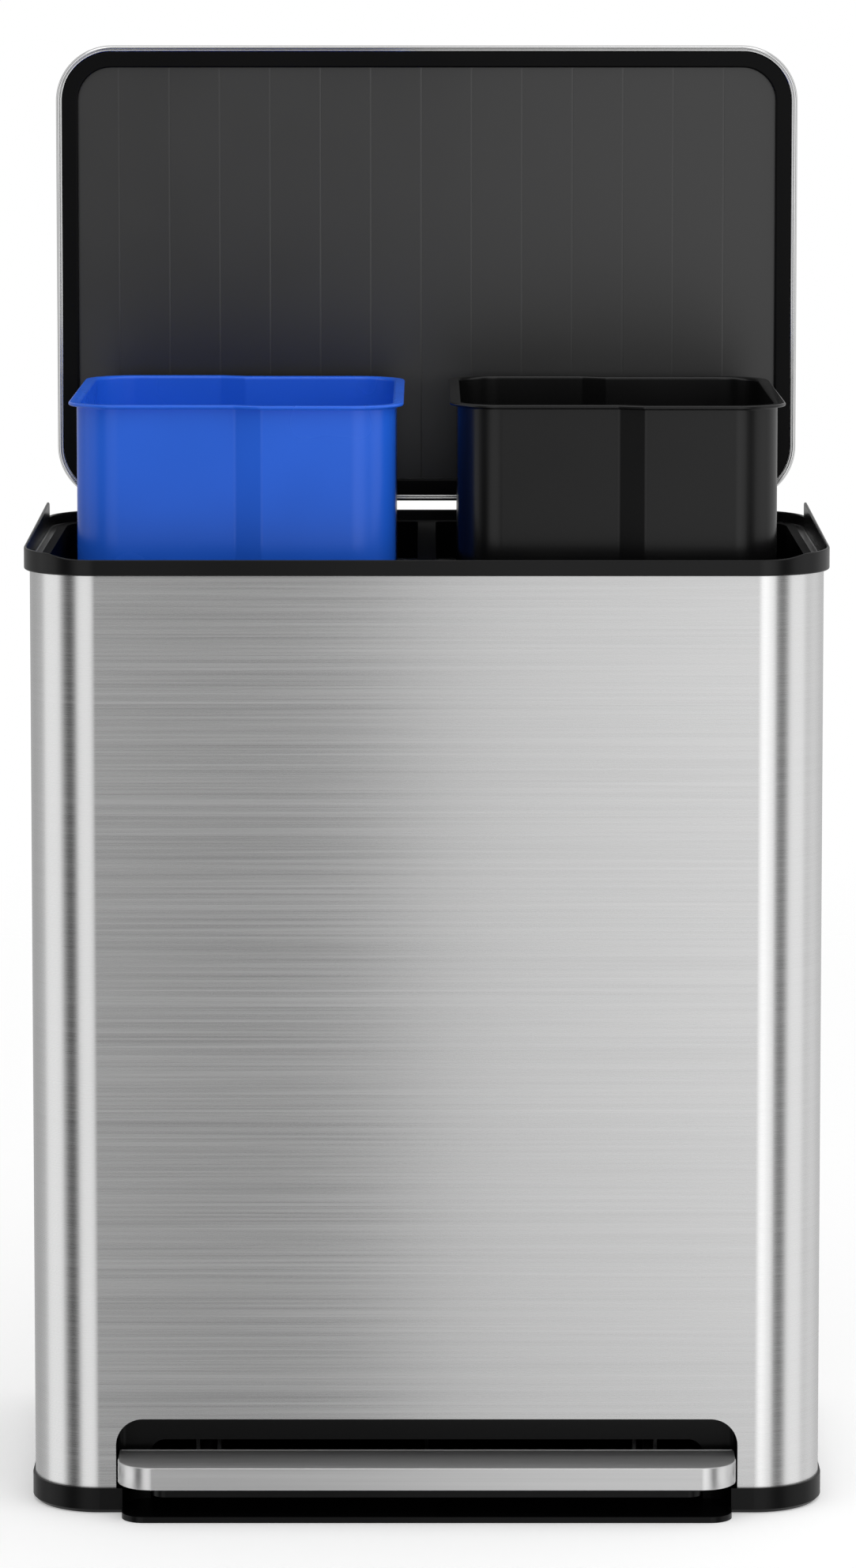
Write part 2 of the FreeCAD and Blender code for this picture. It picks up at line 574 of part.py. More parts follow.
def make_lid_shell():
    """The steel skin: a flat top with rounded shoulders, a skirt and a rolled bead round its foot."""
    shell = piece("lid_shell")
    pad(shell, "plan", LID_EDGE, "lid_thickness", lid_outline("0"))
    bevel_edges(shell, LID_FACE, "lid_edge_round")
    cut(shell, "plan", f"{LID_FACE} - lid_edge_round", "lid_thickness - lid_edge_round",
        lid_outline("steel_sheet"))
    cut(shell, "plan", f"{LID_FACE} - steel_sheet", "lid_edge_round - steel_sheet",
        lid_outline("(lid_edge_round - steel_sheet)"))
    pad(shell, "plan", LID_EDGE, "bead", lid_outline("steel_sheet/2"), lid_outline("bead"))
    bevel_edges(shell, LID_EDGE, "bead_bevel")
    cut(shell, "plan", f"{LID_FACE} - 2.5", "lid_thickness - 2", *lid_notches("(bead + 2)"))
    return turn_open(shell)


def make_lid_frame():
    """The black ring between the bead and the inner panel, with a wall at each of its edges."""
    frame = piece("lid_frame")
    level = f"({LID_EDGE} + lid_frame_set)"
    pad(frame, "plan", level, "lid_frame_plate", lid_outline(FRAME_OUTER), lid_outline(FRAME_INNER))
    tall = f"({LID_FACE} - lid_edge_round - {level})"
    pad(frame, "plan", level, tall, lid_outline(FRAME_OUTER), lid_outline(f"({FRAME_OUTER} + lid_frame_wall)"))
    pad(frame, "plan", level, f"{PANEL_LEVEL} + panel_plate - {level}",
        lid_outline(f"({FRAME_INNER} - lid_frame_wall)"), lid_outline(FRAME_INNER))
    high = f"({PANEL_LEVEL} + panel_plate)"
    cut(frame, "plan", high, f"{high} - {level} + 1", *lid_notches(f"({FRAME_INNER} + 1)"))
    return turn_open(frame)


def make_lid_panel():
    """The inner panel, set back in its frame and stiffened by ribs on its hidden side."""
    panel = piece("lid_panel")
    pad(panel, "plan", PANEL_LEVEL, "panel_plate", lid_outline(FRAME_INNER))
    back = f"({PANEL_LEVEL} + panel_plate)"
    count = int(value("(lid_width/2 - lid_corner)/panel_rib_pitch"))
    middle_y = "-(hinge_back - lid_front + lid_back_gap)/2"
    half_y = "(hinge_back - lid_front - lid_back_gap)/2 - lid_corner"
    ribs = []
    for number in range(-count, count):
        place = f"({number} + 0.5)*panel_rib_pitch"
        ribs.append(rectangle(f"{place} - panel_rib/2", f"{place} + panel_rib/2",
                              f"{middle_y} - ({half_y})", f"{middle_y} + ({half_y})"))
    for rib in ribs:
        pad(panel, "plan", back, "panel_rib_height", rib)
    return turn_open(panel)


def make_hinge_arm(label, side):
    """The arm that carries the lid: a knuckle on the hinge pin, a strap under the lid and a crank
    whose two cheeks hold the pin that the rod's eye pushes."""
    arm = piece(label)
    middle = f"({side})*hinge_spacing/2"
    pad(arm, "side", middle, "knuckle_length", disc("0", "0", "knuckle_radius"), middle=True)
    pad(arm, "side", middle, "knuckle_length", rectangle(
        "-arm_length", "-hinge_pin_radius - 0.5", f"{PANEL_LEVEL} - arm_plate", PANEL_LEVEL), middle=True)
    # the rod's eye swings through this slot as the lid shuts
    cut(arm, "side", middle, "crank_gap", rectangle(
        "-arm_slot_end", "-hinge_pin_radius - 0.5", f"{PANEL_LEVEL} - arm_plate - 1", f"{PANEL_LEVEL} + 1"),
        middle=True)
    reach_y, reach_z = "crank_radius*cos(crank_angle*1deg)", CRANK_REACH
    across_y, across_z = "crank_half_width*sin(crank_angle*1deg)", "crank_half_width*cos(crank_angle*1deg)"
    for cheek in ("-1", "1"):
        place = f"{middle} + ({cheek})*(crank_gap + crank_cheek)/2"
        pad(arm, "side", place, "crank_cheek", polygon([
            (f"-{across_y}", across_z), (f"-{reach_y} - {across_y}", f"-{reach_z} + {across_z}"),
            (f"-{reach_y} + {across_y}", f"-{reach_z} - {across_z}"), (across_y, f"-{across_z}")]), middle=True)
        pad(arm, "side", place, "crank_cheek", disc(f"-{reach_y}", f"-{reach_z}", "crank_half_width"),
            middle=True)
    cut(arm, "side", middle, "knuckle_length + 2", disc("0", "0", "hinge_pin_radius + pin_play"), middle=True)
    cut(arm, "side", middle, "crank_gap + 2*crank_cheek + 2",
        disc(f"-{reach_y}", f"-{reach_z}", "crank_pin_radius"), middle=True)
    return turn_open(arm)


def make_crank_pin(label, side):
    straight = pin(label, f"({side})*hinge_spacing/2", "0", "0", "crank_gap + 2*crank_cheek",
                   "crank_pin_radius")
    straight.setExpression("Placement.Base.y", bind(f"{HINGE_Y} - {CRANK_REACH}"))
    straight.setExpression("Placement.Base.z", bind("hinge_height + crank_radius*cos(crank_angle*1deg)"))
    return straight


# ---- hinge brackets and pins ------------------------------------------------------------------------


def make_hinge_bracket(label, side):
    """Two ears on a foot that stands on the rim's rear ledge, slotted for the crank."""
    bracket = piece(label)
    middle = f"({side})*hinge_spacing/2"
    foot_front, foot_back = f"{BACK} - rim_wall - bracket_foot", f"{BACK} - rim_wall"
    pad(bracket, "plan", LEDGE_TOP, "bracket_plate", rectangle(
        f"{middle} - bracket_width/2", f"{middle} + bracket_width/2", foot_front, foot_back))
    for hand in ("-1", "1"):
        place = f"{middle} + ({hand})*(ear_gap + ear_plate)/2"
        pad(bracket, "side", place, "ear_plate", polygon([
            (foot_front, LEDGE_TOP), (foot_back, LEDGE_TOP), (f"{HINGE_Y} + ear_radius", "hinge_height"),
            (f"{HINGE_Y} - ear_radius", "hinge_height")]), middle=True)
        pad(bracket, "side", place, "ear_plate", disc(HINGE_Y, "hinge_height", "ear_radius"), middle=True)
    cut(bracket, "plan", f"{LEDGE_TOP} + bracket_plate + 1", "bracket_plate + 2", rectangle(
        f"{middle} - bracket_slot/2", f"{middle} + bracket_slot/2", f"{foot_front} - 1",
        f"{foot_front} + bracket_slot_depth"))
    cut(bracket, "side", middle, "ear_gap + 2*ear_plate + 2",
        disc(HINGE_Y, "hinge_height", "hinge_pin_radius"), middle=True)
    return bracket


def make_hinge_pin(label, side):
    return pin(label, f"({side})*hinge_spacing/2", HINGE_Y, "hinge_height", "ear_gap + 2*ear_plate",
               "hinge_pin_radius")


# ---- push rod and damper ----------------------------------------------------------------------------


def eye_plate(body, middle):
    """The flat eye at the top of a rod. Its level slot lets the crank pin swing to and fro."""
    height = f"(hinge_height + {CRANK_REACH})"
    half = f"({CRANK_SWING}/2 + crank_pin_radius + slot_play)"
    tall = "(crank_pin_radius + slot_lift)"
    pad(body, "side", middle, "eye_plate", rectangle(
        f"{ROD_Y} - {half} - eye_wall", f"{ROD_Y} + {half} + eye_wall",
        f"{height} - eye_half_height", f"{height} + eye_half_height"), middle=True)
    cut(body, "side", middle, "eye_plate + 2", rectangle(
        f"{ROD_Y} - {half}", f"{ROD_Y} + {half}", f"{height} - {tall}", f"{height} + {tall}",
        "crank_pin_radius"), middle=True)


def make_push_rod():
    """The rod behind the right bucket, from the lever's end up to the eye on the right crank."""
    rod = piece("push_rod")
    middle = "hinge_spacing/2"
    eye_under = f"(hinge_height + {CRANK_REACH} - eye_half_height)"
    pad(rod, "plan", "clevis_top", f"{eye_under} - clevis_top", disc(middle, ROD_Y, "rod_radius"))
    eye_plate(rod, middle)
    return rod


def make_rod_clevis():
    """The fork at the foot of the push rod, astride the lever's end."""
    clevis = piece("rod_clevis")
    middle = "hinge_spacing/2"
    width = "(clevis_gap + 2*clevis_cheek)"
    low = "(clevis_top - clevis_drop)"
    pad(clevis, "side", middle, width, rectangle(
        f"{ROD_Y} - clevis_half_depth", f"{ROD_Y} + clevis_half_depth", low, "clevis_top",
        ["2", "2", "0", "0"]), middle=True)
    cut(clevis, "side", middle, "clevis_gap", rectangle(
        f"{ROD_Y} - clevis_half_depth - 1", f"{ROD_Y} + clevis_half_depth + 1",
        f"{low} - 1", "clevis_top - clevis_bridge"), middle=True)
    tall = "(lever_pin_radius + 0.2)"
    cut(clevis, "side", middle, f"{width} + 2", rectangle(
        f"{ROD_Y} - clevis_slot_half", f"{ROD_Y} + clevis_slot_half",
        f"lever_end_height - {tall}", f"lever_end_height + {tall}", "lever_pin_radius"), middle=True)
    return clevis


def make_lever_pin():
    return pin("lever_pin", "hinge_spacing/2", ROD_Y, "lever_end_height", "clevis_gap + 2*clevis_cheek",
               "lever_pin_radius")


def make_rod_guides():
    """Two blocks on the back of the sleeve that the push rod runs through."""
    items = []
    wall = f"({BACK} - {STEEL_INSIDE})"
    for number, low in enumerate(("rod_guide_low", "rod_guide_high"), start=1):
        body = block(f"rod_guide_block_{number}", "hinge_spacing/2 - rod_guide_width/2",
                     "hinge_spacing/2 + rod_guide_width/2", f"{ROD_Y} - rod_guide_front", wall,
                     low, f"{low} + rod_guide_height")
        bore = upright(f"rod_guide_bore_{number}", "hinge_spacing/2", ROD_Y, f"{low} - 1",
                       "rod_guide_height + 2", "rod_radius + rod_fit")
        items.append(less(f"rod_guide_{number}", body, bore))
    return group("rod_guides", items)


DAMPER_X = "(-hinge_spacing/2)"


def make_damper_cylinder():
    """The closed cylinder, bored for the rod as far as it travels."""
    cylinder = piece("damper_cylinder")
    pad(cylinder, "plan", "damper_bottom", "damper_top - damper_bottom", disc(DAMPER_X, ROD_Y, "damper_radius"))
    cut(cylinder, "plan", "damper_top", "damper_top - damper_bottom - damper_floor",
        disc(DAMPER_X, ROD_Y, "damper_rod_radius + rod_fit"))
    return cylinder


def make_damper_clips():
    """Two clips on the back of the sleeve that hold the cylinder from behind."""
    items = []
    wall = f"({BACK} - {STEEL_INSIDE})"
    for number, low in enumerate(("clip_low", "clip_high"), start=1):
        body = block(f"damper_clip_block_{number}", f"{DAMPER_X} - clip_width/2", f"{DAMPER_X} + clip_width/2",
                     f"{ROD_Y} - clip_front", wall, low, f"{low} + clip_height")
        bore = upright(f"damper_clip_bore_{number}", DAMPER_X, ROD_Y, f"{low} - 1", "clip_height + 2",
                       "damper_radius")
        items.append(less(f"damper_clip_{number}", body, bore))
    return group("damper_clips", items)


def make_damper_rod():
    rod = piece("damper_rod")
    eye_under = f"(hinge_height + {CRANK_REACH} - eye_half_height)"
    low = "(damper_top - rod_engaged)"
    pad(rod, "plan", low, f"{eye_under} - {low}", disc(DAMPER_X, ROD_Y, "damper_rod_radius"))
    eye_plate(rod, DAMPER_X)
    return rod


# ---- pedal ------------------------------------------------------------------------------------------


def tread_outline(amount):
    half = f"(tread_half_width - {amount})"
    return rectangle(f"-{half}", half, f"{FRONT} - tread_reach + {amount}", f"{FRONT} + tread_back - {amount}",
                     [f"tread_corner - {amount}", f"tread_corner - {amount}", f"tread_back_corner - {amount}",
                      f"tread_back_corner - {amount}"])


def make_tread():
    """The steel tread: a shallow tray turned over, with a thin lip round its top and no back wall."""
    tread = piece("pedal_tread")
    pad(tread, "plan", "tread_bottom", "tread_top - tread_bottom", tread_outline("0"))
    under = "(tread_top - tread_sink - tread_sheet)"
    half = "(tread_half_width - tread_sheet)"
    corner = "tread_corner - tread_sheet"
    cut(tread, "plan", under, f"{under} - tread_bottom", rectangle(
        f"-{half}", half, f"{FRONT} - tread_reach + tread_sheet", f"{FRONT} + tread_back + 1",
        [corner, corner, "0", "0"]))
    cut(tread, "plan", "tread_top", "tread_sink", rectangle(
        f"-{half}", half, f"{FRONT} - tread_reach + tread_sheet", f"{FRONT} + tread_back + 1",
        [corner, corner, "0", "0"]))
    return tread


def make_core():
    """The moulding inside the tread: a plate, a narrower skirt below it and seats for the arms."""
    core = piece("pedal_core")
    top = "(tread_top - tread_sink - tread_sheet)"
    half = "(tread_half_width - tread_sheet)"
    corner = "tread_corner - tread_sheet"
    pad(core, "plan", f"{top} - core_plate", "core_plate", rectangle(
        f"-{half}", half, f"{FRONT} - tread_reach + tread_sheet", f"{FRONT} + tread_back",
        [corner, corner, "0", "0"]))
    low = f"({top} - core_plate - core_bottom)"
    wall = "core_wall"
    pad(core, "plan", "core_bottom", low, rectangle(
        "-core_half_width", "core_half_width", f"{FRONT} - core_front", f"{FRONT} + core_back", "core_corner"),
        rectangle(f"-core_half_width + {wall}", f"core_half_width - {wall}", f"{FRONT} - core_front + {wall}",
                  f"{FRONT} + core_back - {wall}", f"core_corner - {wall}"))
    slot = "(lever_plate + 2*pin_play)"
    cut(core, "plan", "lever_top", "lever_top - core_bottom + 1",
        *hinge_slots(f"{FRONT} - lever_front", f"{FRONT} + core_back + 1", slot))
    return core


def make_lever():
    """Two bent arms tied across: the tread in front, the axle between, the push rod at the back."""
    lever = piece("pedal_lever")
    low = "(lever_top - lever_height)"
    shift = "(lever_end_height - (lever_top - lever_height/2))"
    tail = "(pivot_back + 60 - rim_depth/2)"
    front = f"{FRONT} - lever_front"
    top_line, low_line = "lever_top", low
    for side in ("-1", "1"):
        middle = f"({side})*hinge_spacing/2"
        end = ROD_Y if side == "1" else f"{tail} + 20"
        points = [(front, low_line), (f"{PIVOT_Y} + 10", low_line), (tail, f"{low} + {shift}"),
                  (end, f"{low} + {shift}"), (end, f"lever_top + {shift}"), (tail, f"lever_top + {shift}"),
                  (f"{PIVOT_Y} + 10", top_line), (front, top_line)]
        pad(lever, "side", middle, "lever_plate", polygon(points), middle=True)
        pad(lever, "side", middle, "lever_plate", disc(PIVOT_Y, "pivot_height", "axle_radius + lever_boss"),
            middle=True)
    pad(lever, "side", "hinge_spacing/2", "lever_plate", disc(ROD_Y, "lever_end_height", "lever_end_radius"),
        middle=True)
    pad(lever, "side", "0", "hinge_spacing", rectangle(
        tail, f"{tail} + lever_tie", f"{low} + {shift}", f"{low} + {shift} + 3"), middle=True)
    cut(lever, "side", "0", "hinge_spacing + 20", disc(PIVOT_Y, "pivot_height", "axle_radius + pin_play"),
        middle=True)
    cut(lever, "side", "hinge_spacing/2", "lever_plate + 2",
        disc(ROD_Y, "lever_end_height", "lever_pin_radius"), middle=True)
    return lever


def make_lever_bracket(label, side):
    """A U of folded sheet on the base's floor whose two cheeks carry the axle."""
    bracket = piece(label)
    middle = f"({side})*hinge_spacing/2"
    front, back = f"{PIVOT_Y} - cheek_half_depth", f"{PIVOT_Y} + cheek_half_depth"
    width = "(cheek_gap + 2*cheek_plate)"
    pad(bracket, "plan", BASE_FLOOR, "cheek_plate", rectangle(
        f"{middle} - {width}/2", f"{middle} + {width}/2", front, back))
    for hand in ("-1", "1"):
        place = f"{middle} + ({hand})*(cheek_gap + cheek_plate)/2"
        pad(bracket, "side", place, "cheek_plate", rectangle(
            front, back, BASE_FLOOR, "pivot_height + cheek_over_axle"), middle=True)
    cut(bracket, "side", middle, f"{width} + 2", disc(PIVOT_Y, "pivot_height", "axle_radius"), middle=True)
    return bracket


def make_axle():
    return pin("lever_axle", "0", PIVOT_Y, "pivot_height", "hinge_spacing + cheek_gap + 2*cheek_plate",
               "axle_radius")


def make_lid_bumpers():
    """Soft studs on the guide frame that the lid comes down on."""
    items = []
    for number, side in enumerate((-1, 1), start=1):
        middle = f"{side}*(rim_width/2 - (frame_inset + mouth_side)/2)"
        items.append(block(
            f"lid_bumper_{number}", f"{middle} - bumper_width/2", f"{middle} + bumper_width/2",
            f"{FRONT} + bumper_from_front", f"{FRONT} + bumper_from_front + bumper_length",
            f"{LEDGE_TOP} + frame_plate", f"{LEDGE_TOP} + frame_plate + bumper_height"))
    return group("lid_bumpers", items)


make_base()
make_foot_pads()
make_pedal_housing()
make_sleeve()
make_rim()
make_guide_frame()
make_deck()
make_divider()
make_lid_bumpers()
make_bucket("bucket_left", "-1")
make_bucket("bucket_right", "1")
make_lid_shell()
make_lid_frame()
make_lid_panel()
for hand, side in (("left", "-1"), ("right", "1")):
    make_hinge_arm(f"hinge_arm_{hand}", side)
    make_crank_pin(f"crank_pin_{hand}", side)
    make_hinge_bracket(f"hinge_bracket_{hand}", side)
    make_hinge_pin(f"hinge_pin_{hand}", side)
    make_lever_bracket(f"lever_bracket_{hand}", side)
make_push_rod()
make_rod_clevis()
make_lever_pin()
make_rod_guides()
make_damper_cylinder()
make_damper_clips()
make_damper_rod()
make_tread()
make_core()
make_lever()
make_axle()
doc.recompute()

for item in doc.Objects:
    if "Invalid" in item.State or "Error" in item.State:
        raise ValueError(f"{item.Label} failed: {item.State}")

os.makedirs("parts", exist_ok=True)
for item in pieces:
    shape = item.Shape
    if shape.isNull() or not shape.isValid():
        raise ValueError(f"{item.Label} has no valid shape")
    box = shape.BoundBox
    print(f"{item.Label:20s} solids {len(shape.Solids)}  volume {shape.Volume / 1000:9.2f} cm3  "
          f"x {box.XMin:.1f} {box.XMax:.1f}  y {box.YMin:.1f} {box.YMax:.1f}  z {box.ZMin:.1f} {box.ZMax:.1f}")
    shape.exportStep(os.path.join("parts", item.Label + ".step"))
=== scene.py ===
# %% [markdown]
# # A double recycling bin, dressed for its picture
# The bin comes in as a finished mechanical model: every solid is already in its place, in metres, with its
# front towards -Y. This lesson gives that model its looks. Some solids only get a better material. The ones
# whose edges catch the light, such as the rim, the lid's rolled bead and the buckets, are built again here
# with soft edges, from the same measurements.

# %% Load the fixed frame
import json
import math

import bmesh
import bpy
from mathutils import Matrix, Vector


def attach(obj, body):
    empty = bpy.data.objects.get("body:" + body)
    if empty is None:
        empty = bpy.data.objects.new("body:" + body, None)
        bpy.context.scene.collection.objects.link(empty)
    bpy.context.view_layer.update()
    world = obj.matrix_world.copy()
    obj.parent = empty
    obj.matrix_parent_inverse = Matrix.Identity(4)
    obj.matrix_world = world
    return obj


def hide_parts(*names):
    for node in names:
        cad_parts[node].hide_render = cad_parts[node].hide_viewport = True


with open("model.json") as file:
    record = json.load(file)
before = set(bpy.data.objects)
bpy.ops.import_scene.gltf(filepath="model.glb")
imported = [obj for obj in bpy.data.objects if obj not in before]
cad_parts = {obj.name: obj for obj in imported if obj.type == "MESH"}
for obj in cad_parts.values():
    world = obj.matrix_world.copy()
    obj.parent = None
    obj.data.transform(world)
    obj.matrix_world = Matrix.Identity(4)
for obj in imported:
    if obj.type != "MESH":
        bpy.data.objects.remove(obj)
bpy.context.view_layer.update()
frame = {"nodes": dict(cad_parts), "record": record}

# %% [markdown]
# ## The studio
# Brushed steel has almost no colour of its own: what we see on it is the room. So the room comes first.
# A product studio is a white tent with tall lit strips and dark gaps between them. Here the tent is the
# world. Mirrored rays see the strips, which change only with the compass direction. Soft light comes from a
# plain tent that is a little brighter on the right, as in the photograph. Rays that come straight from the
# camera see plain white, so the background stays white without adding light to the bin.

# %% A small helper to wire nodes
def new_node(tree, kind, inputs=None, **settings):
    """Adds a node, sets its options, and gives each named input a value or a link."""
    node = tree.nodes.new(kind)
    for key, setting in settings.items():
        setattr(node, key, setting)
    for key, source in (inputs or {}).items():
        if isinstance(source, bpy.types.NodeSocket):
            tree.links.new(source, node.inputs[key])
        else:
            node.inputs[key].default_value = source
    return node


def grey(level):
    return (level, level, level, 1.0)


print("a middle grey is", grey(0.5))

# %% Hang the strips by compass direction
# degrees to the right of the front, and the brightness there
STRIPS = [(-180, 0.50), (-137, 0.42), (-118, 0.52), (-104, 0.58), (-95, 1.40), (-85, 1.80), (-75, 1.60),
          (-66, 0.72), (-57, 0.14), (-47, 0.03), (-37, 0.22), (-28, 1.90), (-18, 2.90), (-9, 0.74),
          (-3, 0.02), (3, 0.24), (8, 0.56), (13, 2.10), (18, 0.72), (30, 0.76), (37, 0.27), (50, 0.06),
          (60, 0.94), (78, 1.60), (93, 0.54), (112, 0.90), (137, 0.64), (180, 0.50)]

world = bpy.data.worlds.new("white_tent")
bpy.context.scene.world = world
world.use_nodes = True
tent = world.node_tree
tent.nodes.clear()
direction = new_node(tent, "ShaderNodeSeparateXYZ",
                     {0: new_node(tent, "ShaderNodeTexCoord").outputs["Generated"]})
front_to_back = new_node(tent, "ShaderNodeMath", {0: direction.outputs["Y"], 1: -1.0}, operation="MULTIPLY")
compass = new_node(tent, "ShaderNodeMath", {0: direction.outputs["X"], 1: front_to_back.outputs[0]},
                   operation="ARCTAN2")
turn = new_node(tent, "ShaderNodeMapRange", {"Value": compass.outputs[0], "From Min": -math.pi,
                                             "From Max": math.pi})
strips = new_node(tent, "ShaderNodeValToRGB", {"Fac": turn.outputs["Result"]})
strips.color_ramp.interpolation = "B_SPLINE"
for degrees, level in STRIPS[1:-1]:
    strips.color_ramp.elements.new(0.5 + degrees / 360).color = grey(level)
strips.color_ramp.elements[0].color = grey(STRIPS[0][1])
strips.color_ramp.elements[-1].color = grey(STRIPS[-1][1])
print("points on the strips:", len(STRIPS), "brightest:", max(level for _, level in STRIPS))

# %% Choose what each kind of ray sees
# the plain tent's brightness in the middle, and how much is added at its far right
TENT_FILL, TENT_SLOPE = 0.72, 0.40
FIRST_COLOUR, SECOND_COLOUR, MIXED_COLOUR = 6, 7, 2     # where Blender's Mix node keeps its colours

path = new_node(tent, "ShaderNodeLightPath")
sideways = new_node(tent, "ShaderNodeMath", {0: direction.outputs["X"], 1: TENT_SLOPE, 2: TENT_FILL},
                    operation="MULTIPLY_ADD")
mirrored = new_node(tent, "ShaderNodeMix", {"Factor": path.outputs["Is Glossy Ray"],
                                            FIRST_COLOUR: sideways.outputs[0],
                                            SECOND_COLOUR: strips.outputs["Color"]}, data_type="RGBA")
seen = new_node(tent, "ShaderNodeMix", {"Factor": path.outputs["Is Camera Ray"],
                                        FIRST_COLOUR: mirrored.outputs[MIXED_COLOUR],
                                        SECOND_COLOUR: grey(1.0)}, data_type="RGBA")
sky = new_node(tent, "ShaderNodeBackground", {"Color": seen.outputs[MIXED_COLOUR], "Strength": 1.0})
new_node(tent, "ShaderNodeOutputWorld", {"Surface": sky.outputs[0]})
print("soft light:", round(TENT_FILL - TENT_SLOPE, 2), "on the left,",
      round(TENT_FILL + TENT_SLOPE, 2), "on the right")

# %% [markdown]
# ## Softboxes
# The tent is far away, so a flat panel of steel shows nearly one point of it. A softbox that stands close
# to the bin gives the long slope from dark to bright across the front, because each place on the panel sees
# another part of it. A softbox of brightness 1 acts like a white card: colours render as they are written.
# The right one reaches below the floor, so that the foot of the steel mirrors it too. It is seen only in
# mirrors, or it would lay a bright patch on the floor.

# %% Place the softboxes
def softbox(name, place, aim, width, height, brightness, mirrored_only=False):
    """A one-sided lit panel. The power is what gives its face the wanted brightness."""
    lamp = bpy.data.lights.new(name, "AREA")
    lamp.shape = "RECTANGLE"
    lamp.size, lamp.size_y = width, height
    lamp.energy = brightness * math.pi * width * height
    holder = bpy.data.objects.new(name, lamp)
    holder.location = place
    holder.rotation_euler = (Vector(aim) - Vector(place)).to_track_quat("-Z", "Y").to_euler()
    holder.visible_camera = False
    holder.visible_diffuse = not mirrored_only
    bpy.context.scene.collection.objects.link(holder)


softbox("softbox_right", place=(0.50, -1.40, 0.40), aim=(0.45, 0.0, 0.40),
        width=1.05, height=1.70, brightness=0.47, mirrored_only=True)
softbox("softbox_top", place=(0.0, -0.35, 1.95), aim=(0.0, 0.0, 0.6), width=1.6, height=1.2, brightness=0.9)

# %% [markdown]
# ## Floor
# The floor is a pale sheet of studio paper. It keeps the bin's soft shadow, and it fades out far from the
# bin so that no horizon line cuts the white background. A faint glow that only the camera sees makes the
# paper whiter without lighting the bin. Mirrored rays pass through the paper, so the steel shows the tent.

# %% Lay the sheet
FLOOR_HALF, FLOOR_DROP = 6.0, 0.0002

floor_mesh = bpy.data.meshes.new("floor")
floor_mesh.from_pydata([(-FLOOR_HALF, -FLOOR_HALF, 0), (FLOOR_HALF, -FLOOR_HALF, 0),
                        (FLOOR_HALF, FLOOR_HALF, 0), (-FLOOR_HALF, FLOOR_HALF, 0)], [], [(0, 1, 2, 3)])
floor = bpy.data.objects.new("floor", floor_mesh)
floor.location.z = -FLOOR_DROP
bpy.context.scene.collection.objects.link(floor)
print("floor:", 2 * FLOOR_HALF, "m square")

# %% Make the paper
FLOOR_TONE, FLOOR_GRAIN, FLOOR_WHITER = 0.90, 0.01, 0.30
FIBRES = 900.0                      # changes in a metre
FADE_FROM, FADE_TO = 0.8, 2.6       # metres from the bin

paper = bpy.data.materials.new("studio_paper")
paper.use_nodes = True
paper_tree = paper.node_tree
paper_tree.nodes.clear()
spot = new_node(paper_tree, "ShaderNodeTexCoord").outputs["Object"]
far = new_node(paper_tree, "ShaderNodeVectorMath", {0: spot}, operation="LENGTH")
fade = new_node(paper_tree, "ShaderNodeMapRange", {"Value": far.outputs["Value"], "From Min": FADE_FROM,
                                                   "From Max": FADE_TO})
fibres = new_node(paper_tree, "ShaderNodeTexNoise", {"Vector": spot, "Scale": FIBRES, "Detail": 2.0})
tone = new_node(paper_tree, "ShaderNodeMapRange", {"Value": fibres.outputs["Fac"],
                                                   "To Min": FLOOR_TONE - FLOOR_GRAIN,
                                                   "To Max": FLOOR_TONE + FLOOR_GRAIN})
sheet = new_node(paper_tree, "ShaderNodeBsdfDiffuse", {"Color": tone.outputs["Result"]})
rays = new_node(paper_tree, "ShaderNodeLightPath")
whiter = new_node(paper_tree, "ShaderNodeMath", {0: rays.outputs["Is Camera Ray"], 1: FLOOR_WHITER},
                  operation="MULTIPLY")
glow = new_node(paper_tree, "ShaderNodeEmission", {"Strength": whiter.outputs[0]})
white_sheet = new_node(paper_tree, "ShaderNodeAddShader", {0: sheet.outputs[0], 1: glow.outputs[0]})
clear = new_node(paper_tree, "ShaderNodeBsdfTransparent")
gone = new_node(paper_tree, "ShaderNodeMath", {0: fade.outputs["Result"], 1: rays.outputs["Is Glossy Ray"]},
                operation="MAXIMUM")
blend = new_node(paper_tree, "ShaderNodeMixShader", {0: gone.outputs[0], 1: white_sheet.outputs[0],
                                                     2: clear.outputs[0]})
new_node(paper_tree, "ShaderNodeOutputMaterial", {"Surface": blend.outputs[0]})
floor.data.materials.append(paper)
print("the paper fades out between", FADE_FROM, "and", FADE_TO, "m from the bin")

# %% [markdown]
# ## Camera
# The photograph was taken with a long lens from a little above the rim, with the lens shifted so that the
# upright sides stay parallel. The lens, tilt and shift below were worked out from the rim, lid and base.

# %% Set up the camera
LENS_MM = 132.0
SENSOR_MM = 36.0
TILT_DEGREES = 5.57
CAMERA_PLACE = (0.0, -3.9495, 1.0605)
SHIFT_RIGHT, SHIFT_UP = 0.0008, -0.187

camera_data = bpy.data.cameras.new("camera")
camera_data.lens = LENS_MM
camera_data.sensor_width = SENSOR_MM
camera_data.shift_x, camera_data.shift_y = SHIFT_RIGHT, SHIFT_UP
camera = bpy.data.objects.new("camera", camera_data)
camera.location = CAMERA_PLACE
camera.rotation_euler = (math.radians(90 - TILT_DEGREES), 0, 0)
bpy.context.scene.collection.objects.link(camera)
bpy.context.scene.camera = camera
bpy.context.scene.view_settings.view_transform = "Standard"
print("camera at", CAMERA_PLACE, "lens", LENS_MM)

# %% [markdown]
# ## Finishes
# Each finish is a recipe of noise patterns that are measured in metres, so the grain keeps its real size on
# every piece. Brushing is noise pulled out long in the direction in which the belt ran: it changes the
# shine, the height and, very slightly, the tone. The scratches also stretch each highlight across them, and
# the shader's anisotropy does the same. The sleeve is brushed level all round, and the lid and the tread
# from side to side.

# %% Noise that is measured in metres
MIDDLE = (0.3, 0.7)                 # most of a noise lies between these values


